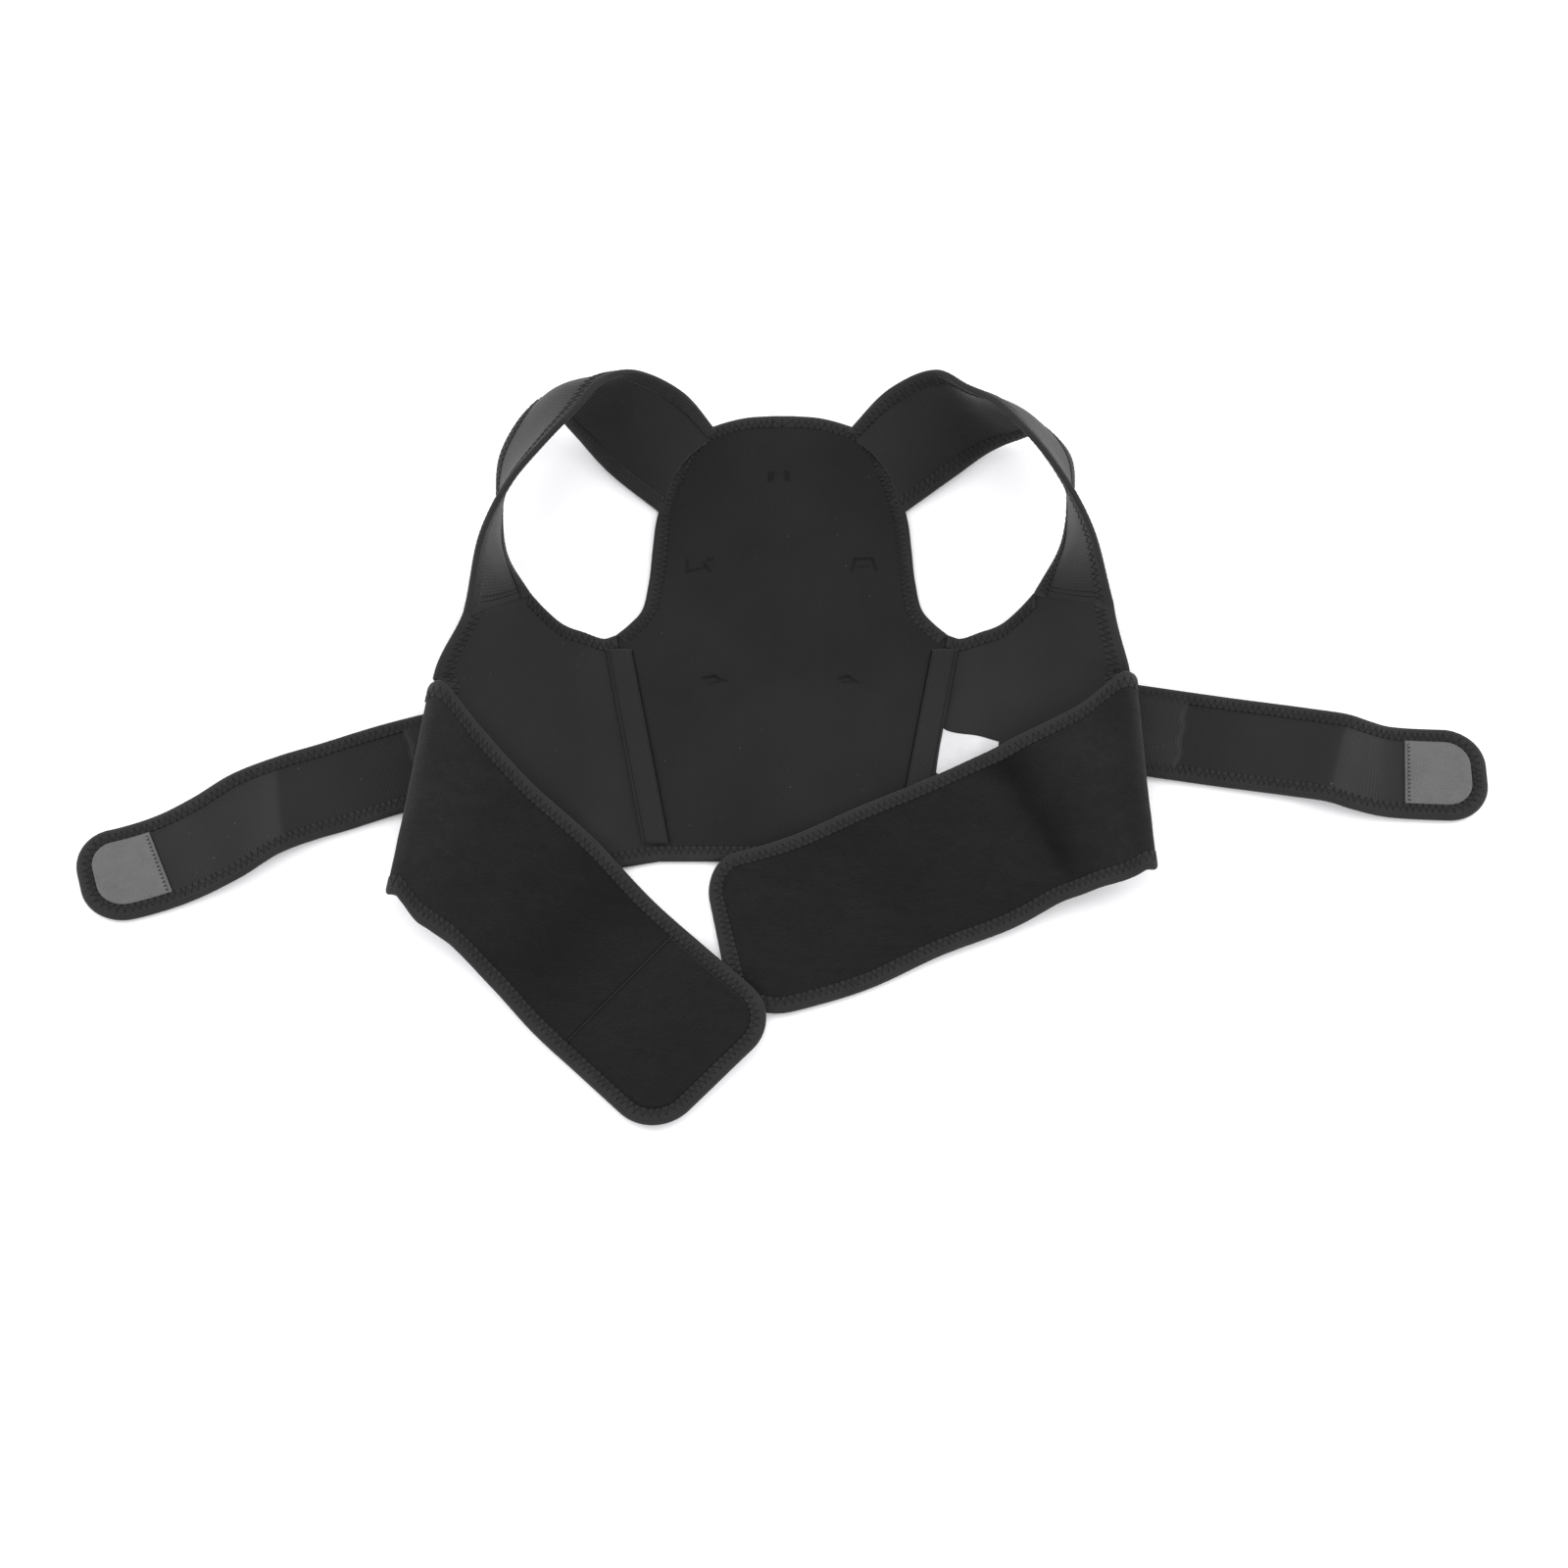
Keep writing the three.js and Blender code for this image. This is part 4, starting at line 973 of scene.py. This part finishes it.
def ribbon_cloth(name, ribbon, rows, layer, material, node, relief=None, painted_shading=None):
    grid, normal = ribbon.frame(*rows)
    if normal[-1, normal.shape[1] // 2, 2] < 0:
        normal = -normal
    raised = relief(*rows) if relief else 0.0
    # Per-point painted light and shade for the cloth's colour, where given.
    painted_shading_values = painted_shading(*rows) if painted_shading else None
    return make_sheet(name, grid, normal, layer, 0.75, np.stack(rows, -1), material, node, raised, painted_shading_values)


def tip_points(ribbon, start):
    """Points and normals round a ribbon's free edges and tip."""

    def points_at(insets):
        paths = [ribbon.path(inset, TAPE_STEP, start) for inset in insets]
        distance, offset = (np.stack([path[k] for path in paths], 1) for k in (0, 1))
        point, normal = ribbon.frame(distance, offset)
        return point, normal if normal[len(normal) // 2, 0, 2] > 0 else -normal

    return points_at


def strap_start(offset):
    """Where a strap's rows start: a little bulged and tucked in under the panel."""
    return ROOT_CLEARANCE + ROOT_BULGE * (1 - (2 * offset / STRAP_ROOT_WIDTH) ** 2) - ROOT_TUCK


def build_strap(side):
    ribbon = strap_ribbon(side)
    share = np.linspace(-1, 1, int(76 / STEP))
    along = np.linspace(0, 1, int(ribbon.length / STEP))
    start = strap_start(share * STRAP_ROOT_WIDTH / 2)
    distance = start[None] + (ribbon.length + 1.0 - start[None]) * along[:, None]
    offset = share[None] * (ribbon.width_at(distance) / 2 - CLOTH_INSET)
    relief = lambda d, o: 0.22 * np.sin(d * 0.16 + o * 0.07) * np.sin(o * 0.1 + d * 0.03)
    name, node = f"strap_cloth_{side}", f"shoulder_strap_{side}"
    cloth = ribbon_cloth(name, ribbon, (distance, offset), "strap", STRAP, node, relief)

    def edge_points(sign):
        def points_at(insets):
            rows = np.linspace(0, 1, int(ribbon.length / TAPE_STEP))[:, None]
            first = strap_start((STRAP_ROOT_WIDTH / 2 - insets) * sign)[None] - 0.5
            d = first + (ribbon.length + 1.6 - first) * rows
            o = sign * (ribbon.width_at(d) / 2 - insets[None])
            return ribbon.frame(d, o)

        return points_at

    arm = tape_piece("strap_arm", edge_points(-1), side, 5)
    neck = tape_piece("strap_neck", edge_points(1), side, 5)
    # Seam across the strap's end
    o = np.linspace(-STRAP_END_WIDTH / 2 + 9, STRAP_END_WIDTH / 2 - 9, 40)
    for back in (4.0, 7.0):
        d = np.full(o.shape, ribbon.length - back)
        line, up = ribbon.frame(d, o)
        for sign in (1, -1):
            marks.row(line, up, SEAM_GAP, 1.5, sign, radius=0.22, arch=0.12)
    return ribbon, cloth, arm, neck


def build_belt(side):
    ribbon = belt_ribbon(side)
    rows = ribbon_grid(ribbon, -1.5, CLOTH_INSET, int(116 / STEP))
    pile = lambda d, o: 0.14 * np.sin(d * 0.23 + np.sin(o * 0.11) * 2) * np.sin(o * 0.19 + 1)
    name, node = f"belt_cloth_{side}", f"belt_{side}"
    cloth = ribbon_cloth(name, ribbon, rows, "belt", PLUSH, node, pile, belt_painted_shading(side))
    edge = tape_piece("belt", tip_points(ribbon, -2.0), side)
    return ribbon, cloth, edge


def build_patch(ribbon):
    start = ribbon.length - TAPE_WIDTH - PATCH_LENGTH
    rows = ribbon_grid(ribbon, start, TAPE_WIDTH + 0.3, int(96 / STEP))
    patch = ribbon_cloth("closure_patch", ribbon, rows, "patch", PATCH, "belt_patch")
    # Across the patch's straight end: an unbroken edge and a row of stitches
    o = np.linspace(-BELT_WIDTH / 2 + 9.5, BELT_WIDTH / 2 - 9.5, 60)
    for back, gap, rise, radius in ((-0.4, 0.0, 1.75, 0.5), (1.7, SEAM_GAP, 2.3, 0.28)):
        d = np.full(o.shape, start + back)
        line, up = ribbon.frame(d, o)
        up = up * np.sign(up[:, 2:])
        marks.row(line, up, gap, rise, radius=radius, arch=0.1)
    return patch


def build_tension(side):
    ribbon = tension_ribbon(side)
    rows = ribbon_grid(ribbon, 0.0, CLOTH_INSET, int(62 / STEP))
    seam, ridge, skew = TENSION_SEAM[side]

    def relief(d, o):
        """A ripple, and the root layer that ends at a seam."""
        layer = smooth(seam + 1.2 * np.sin(o * 0.35) - d, -0.6, 0.6)
        return 0.15 * np.sin(d * 0.12 + o * 0.08) * np.sin(o * 0.12) + 0.9 * layer

    def painted_shading(d, o):
        """Painted light on the root layer before the seam, painted shade past the seam, and painted light
        past the hump's crest.
        """
        past_seam, past_ridge = smooth(d - seam, 0, 2), d - ridge + skew * o
        lit = 1.5 * smooth(past_ridge, -2, 2) * bell(past_ridge, 24)
        return 0.35 * (1 - past_seam) - 0.62 * past_seam * bell(d - seam, 55) + lit

    name, node = f"tension_cloth_{side}", f"tension_strap_{side}"
    cloth = ribbon_cloth(name, ribbon, rows, "strap", TENSION_JERSEY, node, relief, painted_shading)
    edge = tape_piece("tension", tip_points(ribbon, 0.0), side)
    start = ribbon.length - TAPE_WIDTH - TAB_LENGTH
    rows = ribbon_grid(ribbon, start, TAPE_WIDTH + 0.2, 44, 1.2)
    tab = ribbon_cloth(f"hook_pad_{side}", ribbon, rows, "tab", HOOK, f"hook_tab_{side}")
    # Zigzag across the tab's straight end
    o = np.arange(-TENSION_WIDTH / 2 + 11, TENSION_WIDTH / 2 - 11, 1.5)
    d = start + np.where(np.arange(len(o)) % 2, 3.6, -0.6)
    line, up = ribbon.frame(d, o)
    up = up * np.sign(up[:, 2:])
    line = line + up * np.where(np.arange(len(o)) % 2, 2.65, 1.75)[:, None]
    threads.add(line[:-1], line[1:], up[:-1], 0.28, 0.3)
    return ribbon, cloth, edge, tab


def build_label(wing):
    across, down = np.meshgrid(np.linspace(0, 1, 40), np.linspace(0, 1, 36), indexing="ij")
    out = CASING_WIDTH / 2 + 1.2 + across * (LABEL_WIDTH - 1)
    drop = down * LABEL_HEIGHT + across * LABEL_WIDTH * LABEL_SLOPE_SHARE
    u = out / wing.width_at(LABEL_TOP_SHARE)
    grid = wing.place(u, LABEL_TOP_SHARE - drop / wing.length_at(0.0))
    normal = -unit(np.cross(np.gradient(grid, axis=0), np.gradient(grid, axis=1)))
    curl = 0.5 * smooth(across, 0.3, 1) * smooth(1 - down, 0.3, 1)
    lift = (curl + 0.15 * np.sin(across * 7 + down * 3))[..., None]
    flat = np.stack([out, drop], -1)
    name, node = "label_ribbon", "care_label"
    return make_sheet(name, grid + normal * lift, normal, "label", 0.9, flat, LABEL, node)


def bar_tacks():
    """Dark sewn marks on the panel: close rows of short stitches."""
    lines = [
        (-9.6, 152, -9.2, 160), (-6.4, 152, -5.6, 160), (2.0, 153, 1.8, 161), (5.0, 153, 4.8, 160),
        (-63, 90, -63, 80), (-63, 80, -50, 84), (-52, 88, -47, 80), (-50, 90, -46, 90),
        (46, 80, 48, 91), (48, 91, 60, 91), (60, 91, 63, 81), (50, 84, 58, 85),
        (-52, -2, -44, 0), (-44, 0, -36, -5), (-48, -7, -40, -5),
        (36, -3, 43, 0), (43, 0, 50, -6), (39, -6, 46, -5),
    ]
    for x0, y0, x1, y1 in lines:
        count = max(int(math.hypot(x1 - x0, y1 - y0) / 0.65), 3)
        x, y = np.linspace(x0, x1, count), np.linspace(y0, y1, count)
        along = unit(np.array([x1 - x0, y1 - y0, 0.0]))
        beside = np.array([-along[1], along[0], 0]) * 1.7
        middle = np.stack([x, y, 4.22 + panel_relief(x, y)], 1)
        marks.add(middle - beside, middle + beside, np.repeat(UP[None], count, 0), 0.24, 0.1)


wing_pieces = {side: build_wing(WINGS[side]) for side in MIRROR}
casings = {side: build_casing(WINGS[side]) for side in MIRROR}
straps = {side: build_strap(side) for side in MIRROR}
belts = {side: build_belt(side) for side in MIRROR}
patch = build_patch(belts["left"][0])
tensions = {side: build_tension(side) for side in MIRROR}
label = build_label(WINGS["right"])
bar_tacks()
threads.build("zigzag_stitches", THREAD)
# Dark seams and bar tacks, with lines and stubs of painted shade, in one mesh.
marks.build("seam_stitches_and_painted_shade", DARK_THREAD_AND_SHADE)

# ---- floor and surroundings

FLOOR_HALF, FLOOR_Z = 6, -0.0006
corners = [(x * FLOOR_HALF, y * FLOOR_HALF, FLOOR_Z) for x, y in ((-1, -1), (1, -1), (1, 1), (-1, 1))]
floor_mesh = bpy.data.meshes.new("floor")
floor_mesh.from_pydata(corners, [], [(0, 1, 2, 3)])
paper = Cloth("floor_paper", 0.9, 0.9, 0, 0.5, 0.0)
paper.drive("Base Color", paper.ramp(paper.noise(3, 2), [(0.3, 0.96), (0.7, 0.98)]))
paper.shader.inputs["Emission Color"].default_value = (1, 1, 1, 1)
paper.shader.inputs["Emission Strength"].default_value = 0.12
floor_mesh.materials.append(paper.material)
add_object("floor", floor_mesh)

world = bpy.data.worlds.new("studio")
world.use_nodes = True
world.node_tree.nodes["Background"].inputs["Color"].default_value = (1, 1, 1, 1)
world.node_tree.nodes["Background"].inputs["Strength"].default_value = 0.7
bpy.context.scene.world = world
bpy.context.scene.view_settings.view_transform = "Standard"
